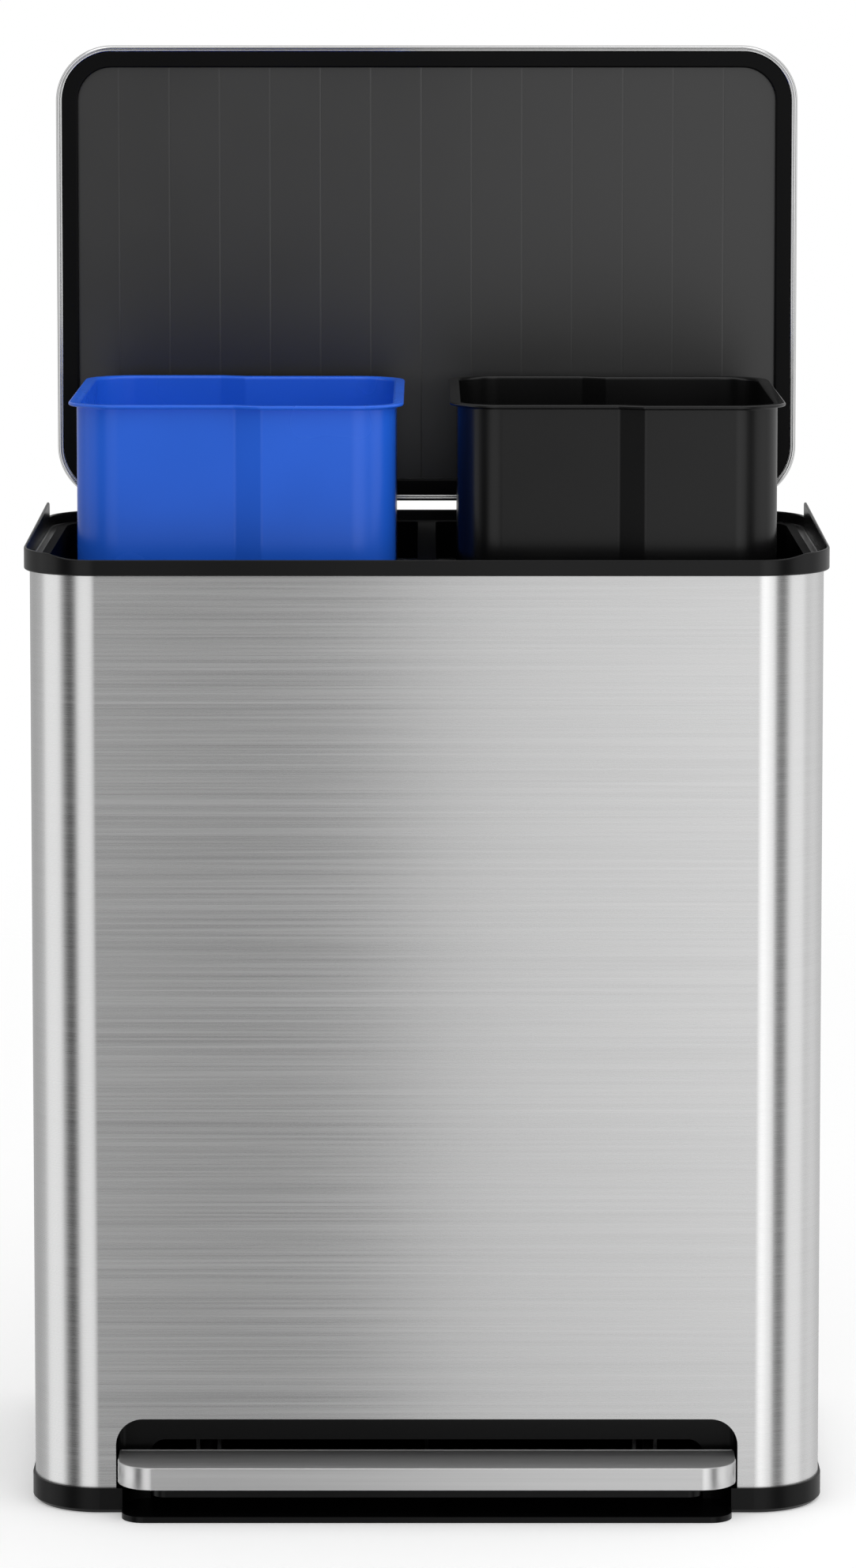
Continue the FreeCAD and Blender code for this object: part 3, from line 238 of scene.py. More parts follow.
def start_finish(name):
    finish = bpy.data.materials.new(name)
    finish.use_nodes = True
    return finish, finish.node_tree, finish.node_tree.nodes["Principled BSDF"]


def stretched_noise(tree, stretch, detail=3.0, roughness=0.6):
    """Noise whose grain is 1/stretch metres long along each axis."""
    spot = new_node(tree, "ShaderNodeTexCoord").outputs["Object"]
    pulled = new_node(tree, "ShaderNodeMapping", {"Vector": spot, "Scale": stretch})
    noise = new_node(tree, "ShaderNodeTexNoise", {"Vector": pulled.outputs[0], "Scale": 1.0,
                                                  "Detail": detail, "Roughness": roughness})
    return noise.outputs["Fac"]


def spread(tree, source, low, high):
    """Stretches the middle of a noise over the range from low to high."""
    return new_node(tree, "ShaderNodeMapRange",
                    {"Value": source, "From Min": MIDDLE[0], "From Max": MIDDLE[1],
                     "To Min": low, "To Max": high}).outputs["Result"]


def mixed(tree, operation, first, second):
    return new_node(tree, "ShaderNodeMath", {0: first, 1: second}, operation=operation).outputs[0]


print("a noise is read between", MIDDLE[0], "and", MIDDLE[1])

# %% Brushed steel
# changes per metre along and across the brushing, for hairlines, streaks and cloudy patches
HAIRLINES, STREAKS, PATCHES = (4.0, 2600.0), (2.0, 420.0), (1.5, 14.0)
HAIR_SHARE, STREAK_SHARE = 0.6, 0.4
PATCHY = (0.4, 1.6)                 # how far the patches thin or deepen the scratches
TONE_PLAY = 0.03
STRETCH, QUARTER_TURN = 0.75, 0.25  # of the highlights, across the scratches
HAIR_DEPTH, HAIR_STRENGTH = 0.00005, 0.12


def brushed_steel(name, along, tone=0.74, shine=(0.22, 0.33), round_axis="Z"):
    """Steel brushed along the axes that are marked 1. The highlights stretch across its grain."""
    finish, tree, shader = start_finish(name)
    hairlines, streaks, patches = (
        stretched_noise(tree, [grain[0] if axis else grain[1] for axis in along], detail, roughness)
        for grain, detail, roughness in ((HAIRLINES, 4.0, 0.7), (STREAKS, 3.0, 0.6), (PATCHES, 2.0, 0.5)))
    both = mixed(tree, "ADD", mixed(tree, "MULTIPLY", hairlines, HAIR_SHARE),
                 mixed(tree, "MULTIPLY", streaks, STREAK_SHARE))
    depth = mixed(tree, "MULTIPLY", both, spread(tree, patches, *PATCHY))
    tree.links.new(spread(tree, both, tone - TONE_PLAY, tone + TONE_PLAY), shader.inputs["Base Color"])
    tree.links.new(spread(tree, both, *shine), shader.inputs["Roughness"])
    shader.inputs["Metallic"].default_value = 1.0
    shader.inputs["Anisotropic"].default_value = STRETCH
    shader.inputs["Anisotropic Rotation"].default_value = QUARTER_TURN if round_axis == "Z" else 0.0
    around = new_node(tree, "ShaderNodeTangent", direction_type="RADIAL", axis=round_axis)
    tree.links.new(around.outputs[0], shader.inputs["Tangent"])
    bump = new_node(tree, "ShaderNodeBump", {"Height": depth, "Strength": HAIR_STRENGTH,
                                             "Distance": HAIR_DEPTH})
    tree.links.new(bump.outputs[0], shader.inputs["Normal"])
    return finish


SLEEVE_STEEL = brushed_steel("sleeve_steel", (1, 1, 0))
LID_STEEL = brushed_steel("cross_brushed_steel", (1, 0, 0), tone=0.70, shine=(0.12, 0.18))
TREAD_STEEL = brushed_steel("tread_steel", (1, 0, 0), tone=0.70, shine=(0.30, 0.40), round_axis="X")
print("steel finishes:", SLEEVE_STEEL.name, LID_STEEL.name, TREAD_STEEL.name)

# %% [markdown]
# ## Plastics and small metal
# The plastics are polypropylene, which leaves the mould with a fine even grain and a satin shine. The grain
# is a shallow bump a fraction of a millimetre across. A slow change in the shine stands for the way that
# the skin cools unevenly. The rim is a little glossier than the base, and the frame between the buckets is
# duller. The zinc of the lever behind the pedal is made near black, as painted shade of the pocket it sits
# in.

# %% Recipes for moulded plastic and zinc plate
GRAIN_DEPTH, GRAIN_SIZE, GRAIN_STRENGTH = 0.00002, 0.0006, 0.3
COOLING, SPANGLES = 9.0, 160.0      # changes in a metre
SHADE_PLAY, SHINE_PLAY = 0.06, 0.03
ZINC_TONE_PLAY, ZINC_SHINE_PLAY = 0.05, 0.06


def moulded(name, colour, shine, gloss=0.2, grain=GRAIN_DEPTH):
    """Plastic or rubber. The grain is the depth of its skin's texture, in metres."""
    finish, tree, shader = start_finish(name)
    speckle = stretched_noise(tree, [1 / GRAIN_SIZE] * 3, 3.0, 0.6)
    drift = stretched_noise(tree, [COOLING] * 3, 2.0, 0.5)
    shade = spread(tree, drift, 1 - SHADE_PLAY, 1 + SHADE_PLAY)
    scale = new_node(tree, "ShaderNodeVectorMath", {0: colour, "Scale": shade}, operation="SCALE")
    tree.links.new(scale.outputs[0], shader.inputs["Base Color"])
    tree.links.new(spread(tree, drift, shine - SHINE_PLAY, shine + SHINE_PLAY), shader.inputs["Roughness"])
    shader.inputs["Specular IOR Level"].default_value = gloss
    bump = new_node(tree, "ShaderNodeBump", {"Height": speckle, "Strength": GRAIN_STRENGTH,
                                             "Distance": grain})
    tree.links.new(bump.outputs[0], shader.inputs["Normal"])
    return finish


def plated(name, tone, shine):
    """Zinc-plated sheet or wire: a dull mirror with faint cloudy spangles."""
    finish, tree, shader = start_finish(name)
    spangle = stretched_noise(tree, [SPANGLES] * 3, 4.0, 0.6)
    tree.links.new(spread(tree, spangle, tone - ZINC_TONE_PLAY, tone + ZINC_TONE_PLAY),
                   shader.inputs["Base Color"])
    tree.links.new(spread(tree, spangle, shine - ZINC_SHINE_PLAY, shine + ZINC_SHINE_PLAY),
                   shader.inputs["Roughness"])
    shader.inputs["Metallic"].default_value = 1.0
    return finish


print("grain of the mould:", round(GRAIN_DEPTH * 1000, 3), "mm deep,",
      round(GRAIN_SIZE * 1000, 3), "mm across")

# %% Mix the plastics and small metal
BLACK = moulded("black_moulded_plastic", (0.0030, 0.0030, 0.0032), 0.30, 0.16)
RIM_BLACK = moulded("rim_plastic", (0.0024, 0.0024, 0.0026), 0.25, 0.25)
RING_BLACK = moulded("lid_ring_plastic", (0.0045, 0.0045, 0.0047), 0.30, 0.06)
FRAME_BLACK = moulded("guide_frame_plastic", (0.0030, 0.0030, 0.0032), 0.60, 0.04)
BLUE = moulded("blue_bucket_plastic", (0.018, 0.142, 0.830), 0.26, 0.34)
BUCKET_BLACK = moulded("black_bucket_plastic", (0.0035, 0.0035, 0.0036), 0.24, 0.32)
PANEL = moulded("lid_panel_plastic", (0.0100, 0.0100, 0.0100), 0.32, 0.75)
ZINC = plated("zinc_plate", 0.55, 0.34)
# painted shade: the lever's zinc is made near black to match the shade in the pedal's pocket
POCKET_SHADE_ZINC = plated("pocket_shade_zinc", 0.07, 0.48)
RUBBER = moulded("pad_rubber", (0.025, 0.025, 0.025), 0.75, grain=0.00005)

FINISHES = {"brushed_steel": SLEEVE_STEEL, "black_plastic": BLACK, "blue_plastic": BLUE,
            "black_bucket_plastic": BUCKET_BLACK, "lid_panel_plastic": PANEL, "plain_steel": ZINC,
            "pad_rubber": RUBBER}
# the lever's metal is seen through the pocket and is made near black as painted shade of the pocket; the
# frame is duller than the other mouldings
SPECIAL_FINISHES = {"lever_bracket_left": POCKET_SHADE_ZINC, "lever_bracket_right": POCKET_SHADE_ZINC,
                    "pedal_lever": POCKET_SHADE_ZINC, "lever_axle": POCKET_SHADE_ZINC,
                    "bucket_guide_frame": FRAME_BLACK, "centre_divider": FRAME_BLACK}
for entry in frame["record"]["subparts"]:
    surface = frame["nodes"][entry["node"]].data
    surface.materials.clear()
    surface.materials.append(SPECIAL_FINISHES.get(entry["node"], FINISHES[entry["material_slot"]]))
print("finishes:", sorted(FINISHES), "and", len(SPECIAL_FINISHES), "nodes with their own")

# %% [markdown]
# ## Soft edges
# A drawn solid has razor edges, and a real one never does. Most of this bin is one outline swept round and
# round: the sleeve, the rim, the lid and the buckets are all rings that follow a rounded rectangle. So the
# pieces are made as a potter would: a cross-section whose corners are rounded, carried round an outline.
# Outlines and cross-sections are in millimetres, as on the drawing, and each is followed by the radii of its
# corners in the same order.

# %% Round the corners of an outline
MM = 0.001


def round_corners(points, radii, steps=6, closed=True):
    """Replaces each corner by an arc of its own radius. Every arc has the same number of points."""
    softened = []
    for number, (corner, radius) in enumerate(zip(points, radii)):
        if radius == 0 or (not closed and number in (0, len(points) - 1)):
            softened.append(tuple(corner))
            continue
        corner = Vector(corner)
        back = (Vector(points[number - 1]) - corner).normalized()
        ahead = (Vector(points[(number + 1) % len(points)]) - corner).normalized()
        half_angle = back.angle(ahead) / 2
        centre = corner + (back + ahead).normalized() * (radius / math.sin(half_angle))
        reach = radius / math.tan(half_angle)
        start, end = corner + back * reach - centre, corner + ahead * reach - centre
        first = math.atan2(start.y, start.x)
        sweep = (math.atan2(end.y, end.x) - first + math.pi) % (2 * math.pi) - math.pi
        for step in range(steps + 1):
            angle = first + sweep * step / steps
            softened.append((centre.x + radius * math.cos(angle), centre.y + radius * math.sin(angle)))
    return softened


small_square = [(0, 0), (9, 0), (9, 9), (0, 9)]
print("a square with soft corners has", len(round_corners(small_square, [2] * 4)), "points")

# %% Join rings of points into a surface
def skin(name, rings, closed=False, capped=False):
    """A mesh through rings of points in millimetres. Closed joins the last ring to the first."""
    count = len(rings[0])
    corners = [Vector(point) * MM for ring in rings for point in ring]
    faces = []
    for ring in range(len(rings) if closed else len(rings) - 1):
        here, there = ring * count, (ring + 1) % len(rings) * count
        for number in range(count):
            beside = (number + 1) % count
            faces.append((here + number, here + beside, there + beside, there + number))
    if capped:
        faces.append(tuple(range(count)))
        faces.append(tuple(range((len(rings) - 1) * count, len(rings) * count)))
    mesh = bpy.data.meshes.new(name)
    mesh.from_pydata(corners, [], faces)
    shape = bmesh.new()
    shape.from_mesh(mesh)
    bmesh.ops.recalc_face_normals(shape, faces=shape.faces)
    shape.to_mesh(mesh)
    shape.free()
    piece = bpy.data.objects.new(name, mesh)
    bpy.context.scene.collection.objects.link(piece)
    return piece


def block(name, low, high):
    """A box between two corners, used to cut openings."""
    (left, front, under), (right, back, top) = low, high
    plan = [(left, front), (right, front), (right, back), (left, back)]
    return skin(name, [[(x, y, level) for x, y in plan] for level in (under, top)], capped=True)


print("outlines are drawn in units of", MM, "m")

# %% Cut openings
def cut_away(piece, *cutters):
    """Subtracts the cutters, keeps the result as the piece's mesh and removes the cutters."""
    for cutter in cutters:
        opening = piece.modifiers.new("opening", "BOOLEAN")
        opening.operation, opening.solver, opening.object = "DIFFERENCE", "EXACT", cutter
    ready = piece.evaluated_get(bpy.context.evaluated_depsgraph_get())
    piece.data = bpy.data.meshes.new_from_object(ready)
    piece.modifiers.clear()
    for cutter in cutters:
        bpy.data.objects.remove(cutter)
    print(piece.name, "cut by", len(cutters), "shapes")


# %% Finish a piece
SHARP_ANGLE = math.radians(35)


def settle(piece, finish, body, slot, *nodes):
    """Smooth shine over soft edges, crisp ones kept; then the finish, the body and what it stands for."""
    piece.data.materials.clear()
    piece.data.materials.append(finish)
    for face in piece.data.polygons:
        face.use_smooth = True
    piece.data.set_sharp_from_angle(angle=SHARP_ANGLE)
    even = piece.modifiers.new("even_shine", "WEIGHTED_NORMAL")
    even.keep_sharp = True
    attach(piece, body)
    if nodes:
        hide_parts(*nodes)
    print(piece.name, "faces:", len(piece.data.polygons), "on", body)


print("edges sharper than", round(math.degrees(SHARP_ANGLE)), "degrees stay crisp")

# %% [markdown]
# ## Sleeve
# The sleeve is one sheet of steel, 0.8 mm thick, rolled to a rounded rectangle and seamed at the back. Its
# corners carry the bright and dark bands that say "steel", so they get many more facets than the drawing
# has. The opening for the pedal is cut out afterwards, as a press would.

# %% Outlines that follow the rim
RIM_HALF_X, RIM_HALF_Y, RIM_CORNER = 270.0, 167.5, 50.0


def rim_outline(inset, steps=16):
    """The rim's rounded rectangle drawn in by an inset, front left corner first."""
    half_x, half_y = RIM_HALF_X - inset, RIM_HALF_Y - inset
    plan = [(-half_x, -half_y), (half_x, -half_y), (half_x, half_y), (-half_x, half_y)]
    return round_corners(plan, [RIM_CORNER - inset] * 4, steps)


def sweep(name, outline_at, section, closed=True):
    """Carries a cross-section of (inset, height) points round an outline."""
    rings = [[(x, y, height) for x, y in outline_at(inset)] for inset, height in section]
    return skin(name, rings, closed=closed, capped=not closed)


print("rim:", 2 * RIM_HALF_X, "by", 2 * RIM_HALF_Y, "mm")

# %% Make the sleeve
STEEL_INSET, SHEET = 3.9, 0.8
SLEEVE_LOW, SLEEVE_TOP, SLEEVE_STEPS = 17.2, 634.8, 24
CUTOUT_HALF, CUTOUT_TOP, CUTOUT_CORNER = 209.0, 64.2, 18.0
ARCH_FRONT, ARCH_BACK = -180, -150

sheet_edge = [(STEEL_INSET, SLEEVE_LOW), (STEEL_INSET, SLEEVE_TOP),
              (STEEL_INSET + SHEET, SLEEVE_TOP), (STEEL_INSET + SHEET, SLEEVE_LOW)]
sleeve = sweep("steel_sleeve", lambda inset: rim_outline(inset, SLEEVE_STEPS), sheet_edge)
arch = round_corners([(-CUTOUT_HALF, 0), (CUTOUT_HALF, 0), (CUTOUT_HALF, CUTOUT_TOP),
                      (-CUTOUT_HALF, CUTOUT_TOP)], [0, 0, CUTOUT_CORNER, CUTOUT_CORNER], 12)
cut_away(sleeve, skin("arch", [[(x, y, z) for x, z in arch] for y in (ARCH_FRONT, ARCH_BACK)], capped=True))
settle(sleeve, SLEEVE_STEEL, "cabinet", "brushed_steel", "body_shell")

# %% [markdown]
# ## Rim
# The rim is a black moulding. Its outer wall is low in front and climbs towards the back, where it ends in
# two small ears that keep the lid in line. The climb is added to the top points of the section only, so the
# ledge and the skirt that grips the steel stay level.

# %% The climb of the rim's wall
RIM_TOP, RIM_UNDER, LEDGE_TOP, LEDGE_UNDER, SKIRT_UNDER = 645.5, 634.7, 637.0, 634.8, 612.8
FIRST_RISE, EAR_RISE = 3.4, 10.4
RISE_FROM, RISE_TO, EAR_END = -166.0, -153.0, 117.5
CLIMB_POINTS = (-80, -40, 0, 40, 80)
# how the ear ends: distance before its end, and how far its top has dropped there
EAR_TIP = [(2.4, 0.0), (1.3, 0.25), (0.6, 0.7), (0.2, 1.3), (0.04, 2.2)]


def ear_rise(y):
    """How much the wall has climbed at a place between front and back: a short ramp, then a long slope."""
    if y > EAR_END + 0.001:
        return 0.0
    share = min(max((y - RISE_FROM) / (RISE_TO - RISE_FROM), 0.0), 1.0)
    return FIRST_RISE * share * share * (3 - 2 * share) + (
        max(y - RISE_TO, 0.0) / (EAR_END - RISE_TO) * (EAR_RISE - FIRST_RISE))


def eared_outline(inset):
    """The rim's outline with extra points along both sides, and what to add to the top at each."""
    plan = []
    for x, y in rim_outline(inset):
        plan.append((x, y, ear_rise(y) if y < EAR_END - 0.01 else 0.0))
    side = RIM_HALF_X - inset
    climb = [(y, ear_rise(y)) for y in CLIMB_POINTS]
    climb += [(EAR_END - before, ear_rise(EAR_END - before) - drop) for before, drop in EAR_TIP]
    arc = len(plan) // 4
    right = [(side, y, rise) for y, rise in climb]
    left = [(-side, y, rise) for y, rise in reversed(climb)]
    return plan[:2 * arc] + right + plan[2 * arc:] + left


print("the ears stand", EAR_RISE, "mm above the front of the rim")

# %% Room for the hinges
HINGE_X = 150.0
# half width, front, back, underside and top of the cuts at each hinge
WALL_NOTCH = 17, 164.5, 168.5, LEDGE_TOP, 660
ROD_SLOT = 9, 154.5, 161.5, 630, 638


def hinge_blocks(half_width, front, back, under, top):
    """Two boxes to cut away, one at each hinge."""
    return [block("hinge_room", (side * HINGE_X - half_width, front, under),
                  (side * HINGE_X + half_width, back, top)) for side in (-1, 1)]


print("hinges stand", HINGE_X, "mm to each side of the middle")

# %% Make the rim
# insets of the inner faces: the low wall, the ledge, and both faces of the skirt
WALL_IN, LEDGE_IN, SKIRT_OUT, SKIRT_IN = 2, 11, 5, 7

rim_section = round_corners(
    [(0, RIM_UNDER), (0, RIM_TOP), (WALL_IN, RIM_TOP), (WALL_IN, LEDGE_TOP), (LEDGE_IN, LEDGE_TOP),
     (LEDGE_IN, LEDGE_UNDER), (SKIRT_IN, LEDGE_UNDER), (SKIRT_IN, SKIRT_UNDER), (SKIRT_OUT, SKIRT_UNDER),
     (SKIRT_OUT, RIM_UNDER)],
    [1.3, 0.9, 0.9, 1.2, 0.5, 0.3, 0.2, 0.3, 0.3, 0.1], 4)
rings = []
for inset, height in rim_section:
    lifted = height > (LEDGE_TOP + RIM_TOP) / 2
    rings.append([(x, y, height + (rise if lifted else 0)) for x, y, rise in eared_outline(inset)])
rim = skin("rim", rings, closed=True)
cut_away(rim, *hinge_blocks(*WALL_NOTCH), *hinge_blocks(*ROD_SLOT))
settle(rim, RIM_BLACK, "cabinet", "black_plastic", "top_collar")

# %% [markdown]
# ## Buckets
# Both buckets come from one mould. Half of the front stands 7.5 mm forward and half of the back stands
# backward, so a bucket fits either way round. The section starts a little way in under the bucket. It runs
# up the wall, round the thin flange that the fingers lift, and down the inside to the floor. One flat face
# closes the underside, and one the floor.

# %% Outline of a bucket
BUCKET_HALF_X, BUCKET_HALF_Y, BUCKET_CORNER = 107.3, 130.3, 30.0
BUCKET_MIDDLE = 128.3
STEP_DEPTH, STEP_RUN, STEP_ROUND = 7.5, 18.0, 7.0


def bucket_outline(middle, grow):
    """The stepped outline, grown outward. The step's corners slide so that its wall stays as thick."""
    half_x, half_y = BUCKET_HALF_X + grow, BUCKET_HALF_Y + grow
    slide = grow * math.tan(math.atan(STEP_DEPTH / STEP_RUN) / 2)
    plan = [(middle - half_x, -half_y + STEP_DEPTH), (middle - slide, -half_y + STEP_DEPTH),
            (middle + STEP_RUN - slide, -half_y), (middle + half_x, -half_y),
            (middle + half_x, half_y - STEP_DEPTH), (middle + slide, half_y - STEP_DEPTH),
            (middle - STEP_RUN + slide, half_y), (middle - half_x, half_y)]
    corner = BUCKET_CORNER + grow
    radii = [corner, STEP_ROUND, STEP_ROUND, corner, corner, STEP_ROUND, STEP_ROUND, corner]
    return round_corners(plan, radii, 12)


print("a bucket is", 2 * BUCKET_HALF_X, "by", 2 * BUCKET_HALF_Y, "mm")

# %% Make the buckets
BUCKET_UNDER, BUCKET_TOP, BUCKET_WALL, BUCKET_FLOOR = 210.0, 745.0, 2.0, 2.5
FLANGE_REACH, FLANGE_PLATE = 5.5, 2.3
UNDER_REACH = 14                    # how far the section goes in under the bucket

bucket_section = round_corners(
    [(-UNDER_REACH, BUCKET_UNDER), (0, BUCKET_UNDER), (0, BUCKET_TOP - FLANGE_PLATE),
     (FLANGE_REACH, BUCKET_TOP - FLANGE_PLATE), (FLANGE_REACH, BUCKET_TOP), (-BUCKET_WALL, BUCKET_TOP),
     (-BUCKET_WALL, BUCKET_UNDER + BUCKET_FLOOR), (-UNDER_REACH, BUCKET_UNDER + BUCKET_FLOOR)],
    [0, 4, 1.4, 1.0, 1.1, 2.2, 4, 0], 5, closed=False)
for hand, side, finish, slot in (("left", -1, BLUE, "blue_plastic"),
                                 ("right", 1, BUCKET_BLACK, "black_bucket_plastic")):
    bucket = sweep(f"{hand}_bucket", lambda grow: bucket_outline(side * BUCKET_MIDDLE, grow),
                   bucket_section, closed=False)
    settle(bucket, finish, f"bucket_{hand}", slot, f"bucket_{hand}")

# %% [markdown]
# ## Lid
# The lid is drawn lying shut about its hinge, where its outline is a simple plan, and then stood up. The
# steel skin rolls over its shoulders and ends in a round bead, with a fine seam where the sheet's edge is
# folded in. Inside the bead sits a black ring, and the dark panel is set back in that ring. Ribs stiffen the
# hidden side of the panel, and a fine groove along each one shows as a faint upright line in its face.

# %% Stand the lid's outlines up
HINGE_Y, HINGE_Z = 167.0, 648.5
LID_HALF, LID_FRONT, LID_BACK, LID_CORNER = 264.6, 330.0, 4.0, 39.5
LID_EDGE, LID_FACE = -7.5, 6.5
ARM_ROOM_HALF, ARM_ROOM_FRONT, ARM_PLAY = 16, 155, 2


def stood_up(x, y, level):
    """A point of the shut lid, about the hinge axis, turned up to where the open lid has it."""
    return (x, HINGE_Y + level, HINGE_Z - y)


def lid_sweep(name, lid_section, closed=True, steps=16):
    rings = []
    for inset, level in lid_section:
        plan = [(-LID_HALF + inset, -LID_FRONT + inset), (LID_HALF - inset, -LID_FRONT + inset),
                (LID_HALF - inset, -LID_BACK - inset), (-LID_HALF + inset, -LID_BACK - inset)]
        plan = round_corners(plan, [LID_CORNER - inset] * 4, steps)
        rings.append([stood_up(x, y, level) for x, y in plan])
    return skin(name, rings, closed=closed, capped=not closed)


def arm_room(back, deep):
    """Cutters for the two hinge arms, in the edge of the standing lid."""
    return hinge_blocks(ARM_ROOM_HALF, ARM_ROOM_FRONT, HINGE_Y + back,
                        HINGE_Z - ARM_PLAY, HINGE_Z + LID_BACK + deep)


print("lid:", 2 * LID_HALF, "by", LID_FRONT - LID_BACK, "mm")

# %% Make the steel skin
BEAD, BEAD_SEAM = 4.3, 2.4          # the bead's width, and the fine seam where its edge is folded in
SHOULDER = 26                       # where the section goes over into the flat
SHOULDER_LEFT = 2.5                 # how much of the shoulder is left behind the hinge arms
SEAM_WIDTH, SEAM_DEPTH, FOLD_SINK = 0.5, 1, 0.3

seam_end, fold = BEAD_SEAM + SEAM_WIDTH, LID_EDGE + FOLD_SINK
seam_floor = LID_EDGE + SEAM_DEPTH
skin_section = round_corners(
    [(SHOULDER, LID_FACE), (0, LID_FACE), (0, LID_EDGE), (BEAD_SEAM, LID_EDGE), (BEAD_SEAM, seam_floor),
     (seam_end, seam_floor), (seam_end, fold), (BEAD, fold),
     (BEAD, LID_EDGE + BEAD), (SHEET, LID_EDGE + BEAD), (SHEET, LID_FACE - SHEET),
     (SHOULDER, LID_FACE - SHEET)],
    [0, 6, 1.8, 0.5, 0.15, 0.15, 0.5, 0.9, 1.9, 0.3, 5.2, 0], 7, closed=False)
lid_skin = lid_sweep("lid_skin", skin_section, closed=False, steps=24)
cut_away(lid_skin, *arm_room(LID_FACE - SHOULDER_LEFT, BEAD + ARM_PLAY))
settle(lid_skin, LID_STEEL, "lid", "brushed_steel", "lid_shell")

# %% Make the black ring
PANEL_INSET, PANEL_LEVEL, PANEL_PLATE = 15.6, -2.5, 2.0
# the ring's outer wall and its plate, and the wall that the panel is set back behind
RING_OUT, RING_OUT_IN, RING_IN_OUT = 4.4, 6.4, 13.6
RING_FACE, RING_PLATE, RING_SHORT, RING_DEEP = -6.9, -4.5, -0.5, 0.5

ring_section = round_corners(
    [(RING_OUT, RING_FACE), (PANEL_INSET, RING_FACE), (PANEL_INSET, RING_SHORT), (RING_IN_OUT, RING_SHORT),
     (RING_IN_OUT, RING_PLATE), (RING_OUT_IN, RING_PLATE), (RING_OUT_IN, RING_DEEP), (RING_OUT, RING_DEEP)],
    [0.6, 1.6, 0.2, 0.2, 0.3, 0.3, 0.2, 0.2], 4)
lid_ring = lid_sweep("lid_ring", ring_section)
cut_away(lid_ring, *arm_room(RING_SHORT, PANEL_INSET + 1))
settle(lid_ring, RING_BLACK, "lid", "black_plastic", "lid_frame")

# %% Make the panel
PANEL_HALF, PANEL_CORNER, PANEL_STEPS = LID_HALF - PANEL_INSET, LID_CORNER - PANEL_INSET, 12
RIB_PITCH, RIB_SHIFT, RIB_HALF, RIB_HEIGHT = 36.0, -3.4, 0.6, 5.0
RIBS_EACH_SIDE = 6
# across a rib: distance from its middle, how deep the face is sunk, and whether the rib stands there
SINK_LINE = [(-1.6, 0, False), (-0.9, 0.05, False), (-RIB_HALF - 0.01, 0.075, False),
             (-RIB_HALF, 0.075, True), (-0.11, 0.12, True), (-0.10, 0.3, True), (0.10, 0.3, True),
             (0.11, 0, True), (RIB_HALF, 0, True), (RIB_HALF + 0.01, 0, False)]


def panel_column(x, face_level, back_level):
    """The four corners of the panel's section at one place across the lid."""
    over = max(abs(x) - (PANEL_HALF - PANEL_CORNER), 0.0)
    rounding = PANEL_CORNER - math.sqrt(max(PANEL_CORNER * PANEL_CORNER - over * over, 0.0))
    low, high = -LID_BACK - PANEL_INSET - rounding, -LID_FRONT + PANEL_INSET + rounding
    return [stood_up(x, y, level) for y, level in ((low, face_level), (high, face_level),
                                                   (high, back_level), (low, back_level))]


flat, behind = PANEL_LEVEL, PANEL_LEVEL + PANEL_PLATE
turns = [math.radians(90 * step / PANEL_STEPS) for step in range(PANEL_STEPS + 1)]
ends = [PANEL_HALF - PANEL_CORNER * (1 - math.sin(turn)) for turn in turns]
places = [(-x, flat, behind) for x in reversed(ends)]
for number in range(-RIBS_EACH_SIDE, RIBS_EACH_SIDE + 1):
    for off, sink, ribbed in SINK_LINE:
        places.append((number * RIB_PITCH + RIB_SHIFT + off, flat + sink, behind + RIB_HEIGHT * ribbed))
places += [(x, flat, behind) for x in ends]
lid_panel = skin("lid_inner_panel", [panel_column(*place) for place in places], capped=True)
settle(lid_panel, PANEL, "lid", "lid_panel_plastic", "lid_panel")

# %% [markdown]
# ## Pedal
# The tread is pressed from steel with a thin lip round its top, and it catches a bright line along its
# edge. It is swept like the rim, and its back wall is then cut away, because a pedal's tread needs none.

# %% Make the tread
TREAD_HALF, TREAD_FRONT, TREAD_BACK = 207.5, -192.5, -143.5
TREAD_UNDER, TREAD_TOP, TREAD_SHEET, TREAD_SINK = 23.1, 38.2, 1.2, 0.4
TREAD_CORNER, TREAD_REACH = 24, 9   # the front corners, and how far the section goes in over the top


def tread_outline(inset):
    plan = [(-TREAD_HALF + inset, TREAD_FRONT + inset), (TREAD_HALF - inset, TREAD_FRONT + inset),
            (TREAD_HALF - inset, TREAD_BACK - inset), (-TREAD_HALF + inset, TREAD_BACK - inset)]
    back_corner = max(2 - inset, 0.2)
    return round_corners(plan, [TREAD_CORNER - inset] * 2 + [back_corner] * 2, 16)


tread_plate = TREAD_TOP - TREAD_SINK
plate_under = tread_plate - TREAD_SHEET
tread_section = round_corners(
    [(TREAD_REACH, plate_under), (TREAD_SHEET, plate_under), (TREAD_SHEET, TREAD_UNDER), (0, TREAD_UNDER),
     (0, TREAD_TOP), (TREAD_SHEET, TREAD_TOP), (TREAD_SHEET, tread_plate), (TREAD_REACH, tread_plate)],
    [0, 0.3, 0.3, 0.5, 0.7, 0.4, 0.3, 0], 4, closed=False)
tread = sweep("pedal_tread_pressing", tread_outline, tread_section, closed=False)
cut_away(tread, block("open_back", (-TREAD_HALF + TREAD_SHEET, TREAD_BACK - TREAD_SHEET - 0.1, 20),
                      (TREAD_HALF - TREAD_SHEET, TREAD_BACK + 1, plate_under)))
settle(tread, TREAD_STEEL, "pedal", "brushed_steel", "pedal_tread")

# %% [markdown]
# ## Hooks under the pedal
# Two short moulded hooks show under the tread, on the black core. They are too small to matter in the
# drawing, so each is one outline given a little depth, and a bevel softens its edges.

# %% Make the two hooks
HOOK_PLACES = {"hook_left": -118.0, "hook_right": 152.0}
HOOK_TOP, HOOK_FRONT, HOOK_BACK = 23.0, -188.6, -186.8
HOOK_SOFT = 0.3

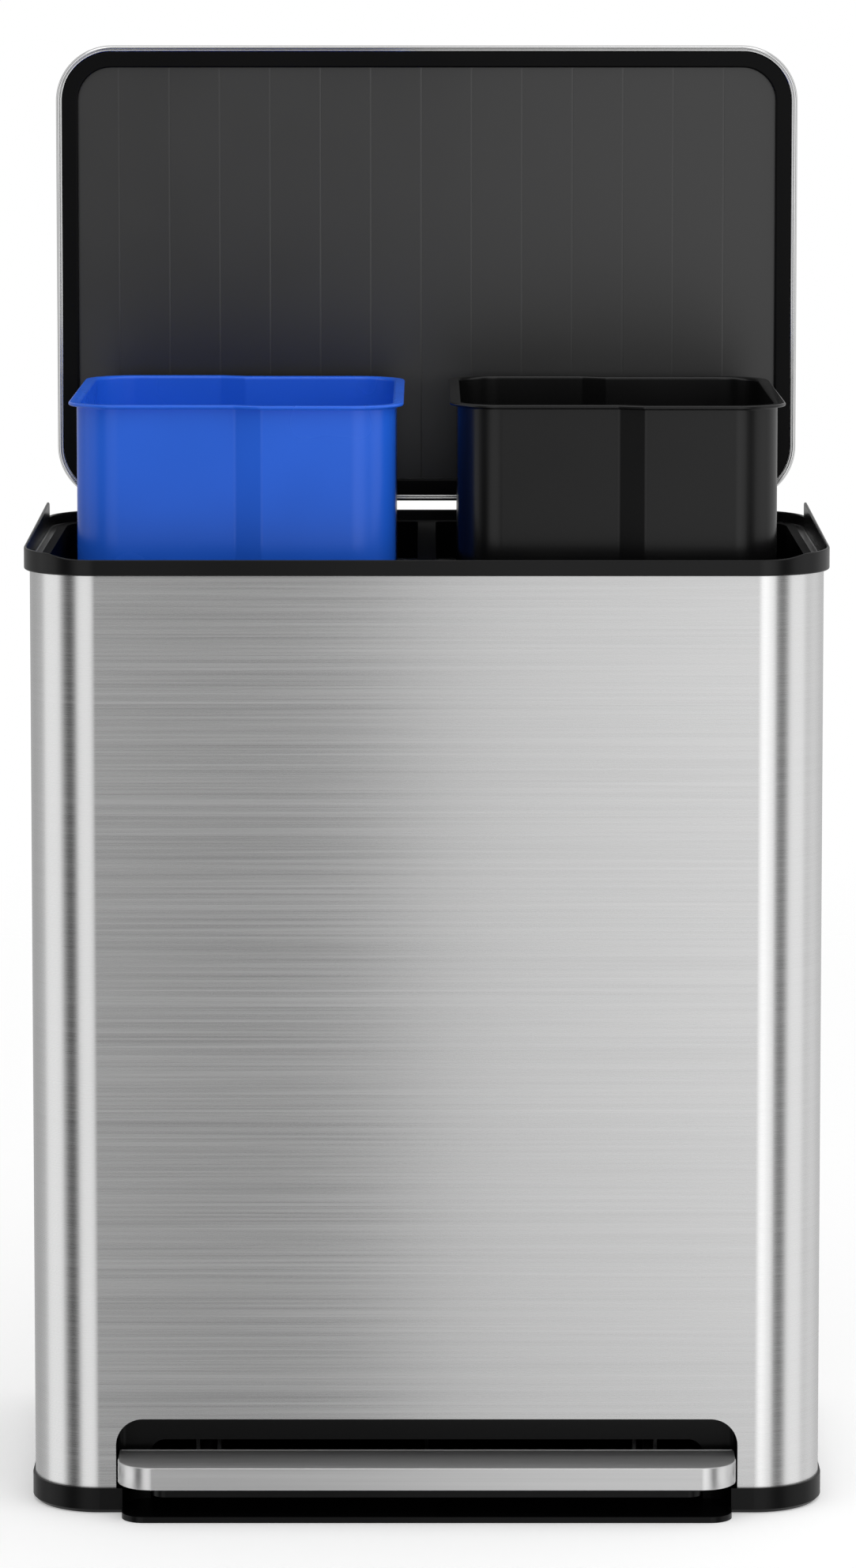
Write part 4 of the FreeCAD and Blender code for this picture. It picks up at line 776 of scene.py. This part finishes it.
hook_shape = round_corners([(-6.5, 0), (6, 0), (6, -4), (3.4, -4), (2.2, -2.4), (-2.5, -1.4)],
                           [0.3, 0.4, 1.6, 1.0, 0.8, 2.0])
for name, middle in HOOK_PLACES.items():
    hook = skin(name, [[(middle + x, y, HOOK_TOP + z) for x, z in hook_shape]
                       for y in (HOOK_FRONT, HOOK_BACK)], capped=True)
    soft = hook.modifiers.new("soft", "BEVEL")
    soft.width, soft.segments = HOOK_SOFT * MM, 3
    settle(hook, BLACK, "pedal", "black_plastic")

# %% [markdown]
# ## Screws
# The hinge brackets stand on the ledge of the rim, and the arms lie on the lid's panel. Each is held by two
# pan-head screws, and the deck inside by four. A head is a short turned profile with a cross pressed in it.
# Only the heads are made, because nothing else of a screw can be seen.

# %% A screw head
# distance from the middle and height, as shares of the head's radius and height
SCREW_PROFILE = [(0.30, 1.0), (0.62, 0.94), (0.86, 0.74), (0.98, 0.42), (1.0, 0.0)]
CROSS_HALF, CROSS_REACH, CROSS_DEPTH = 0.16, 0.62, 0.55
SCREW_STEPS = 24


def pan_screw(name, place, radius, height, faces_front, body):
    """A screw head that stands on a surface and looks up, or to the front."""
    def spot_at(across, along, out):
        x, y, z = place
        return (x + across, y - out, z + along) if faces_front else (x + across, y + along, z + out)

    turns = [2 * math.pi * step / SCREW_STEPS for step in range(SCREW_STEPS)]
    head = skin(name, [[spot_at(radius * share * math.cos(turn), radius * share * math.sin(turn),
                                height * out) for turn in turns] for share, out in SCREW_PROFILE],
                capped=True)
    slots = []
    for long, short in ((CROSS_REACH, CROSS_HALF), (CROSS_HALF, CROSS_REACH)):
        plan = [(-long, -short), (long, -short), (long, short), (-long, short)]
        slots.append(skin("slot", [[spot_at(radius * x, radius * y, height * out) for x, y in plan]
                                   for out in (1 - CROSS_DEPTH, 1.3)], capped=True))
    cut_away(head, *slots)
    settle(head, ZINC, body, "plain_steel")


print("a head has", len(SCREW_PROFILE), "rings")

# %% Put the screws in
# to the side of the hinge's middle, depth, height, radius of the head and how far it stands out
BRACKET_SCREW = 17, 162.6, 639.5, 2.2, 1.1
ARM_SCREW = 6.5, 161.5, 681.5, 2.6, 1.5
DECK_SCREWS = ((-250, -100), (250, -100), (250, 100), (-250, 100))
DECK_TOP, DECK_SCREW_RADIUS, DECK_SCREW_HEIGHT = 52.0, 3.0, 1.6

for side, hand in ((-1, "left"), (1, "right")):
    for end in (-1, 1):
        where = f"{hand}_{'outer' if end == side else 'inner'}"
        for name, (beside, y, z, radius, height), faces_front, body in (
                ("bracket_screw", BRACKET_SCREW, False, "cabinet"), ("arm_screw", ARM_SCREW, True, "lid")):
            pan_screw(f"{name}_{where}", (side * HINGE_X + end * beside, y, z), radius, height,
                      faces_front, body)
for number, (x, y) in enumerate(DECK_SCREWS, 1):
    pan_screw(f"deck_screw_{number}", (x, y, DECK_TOP), DECK_SCREW_RADIUS, DECK_SCREW_HEIGHT,
              False, "cabinet")
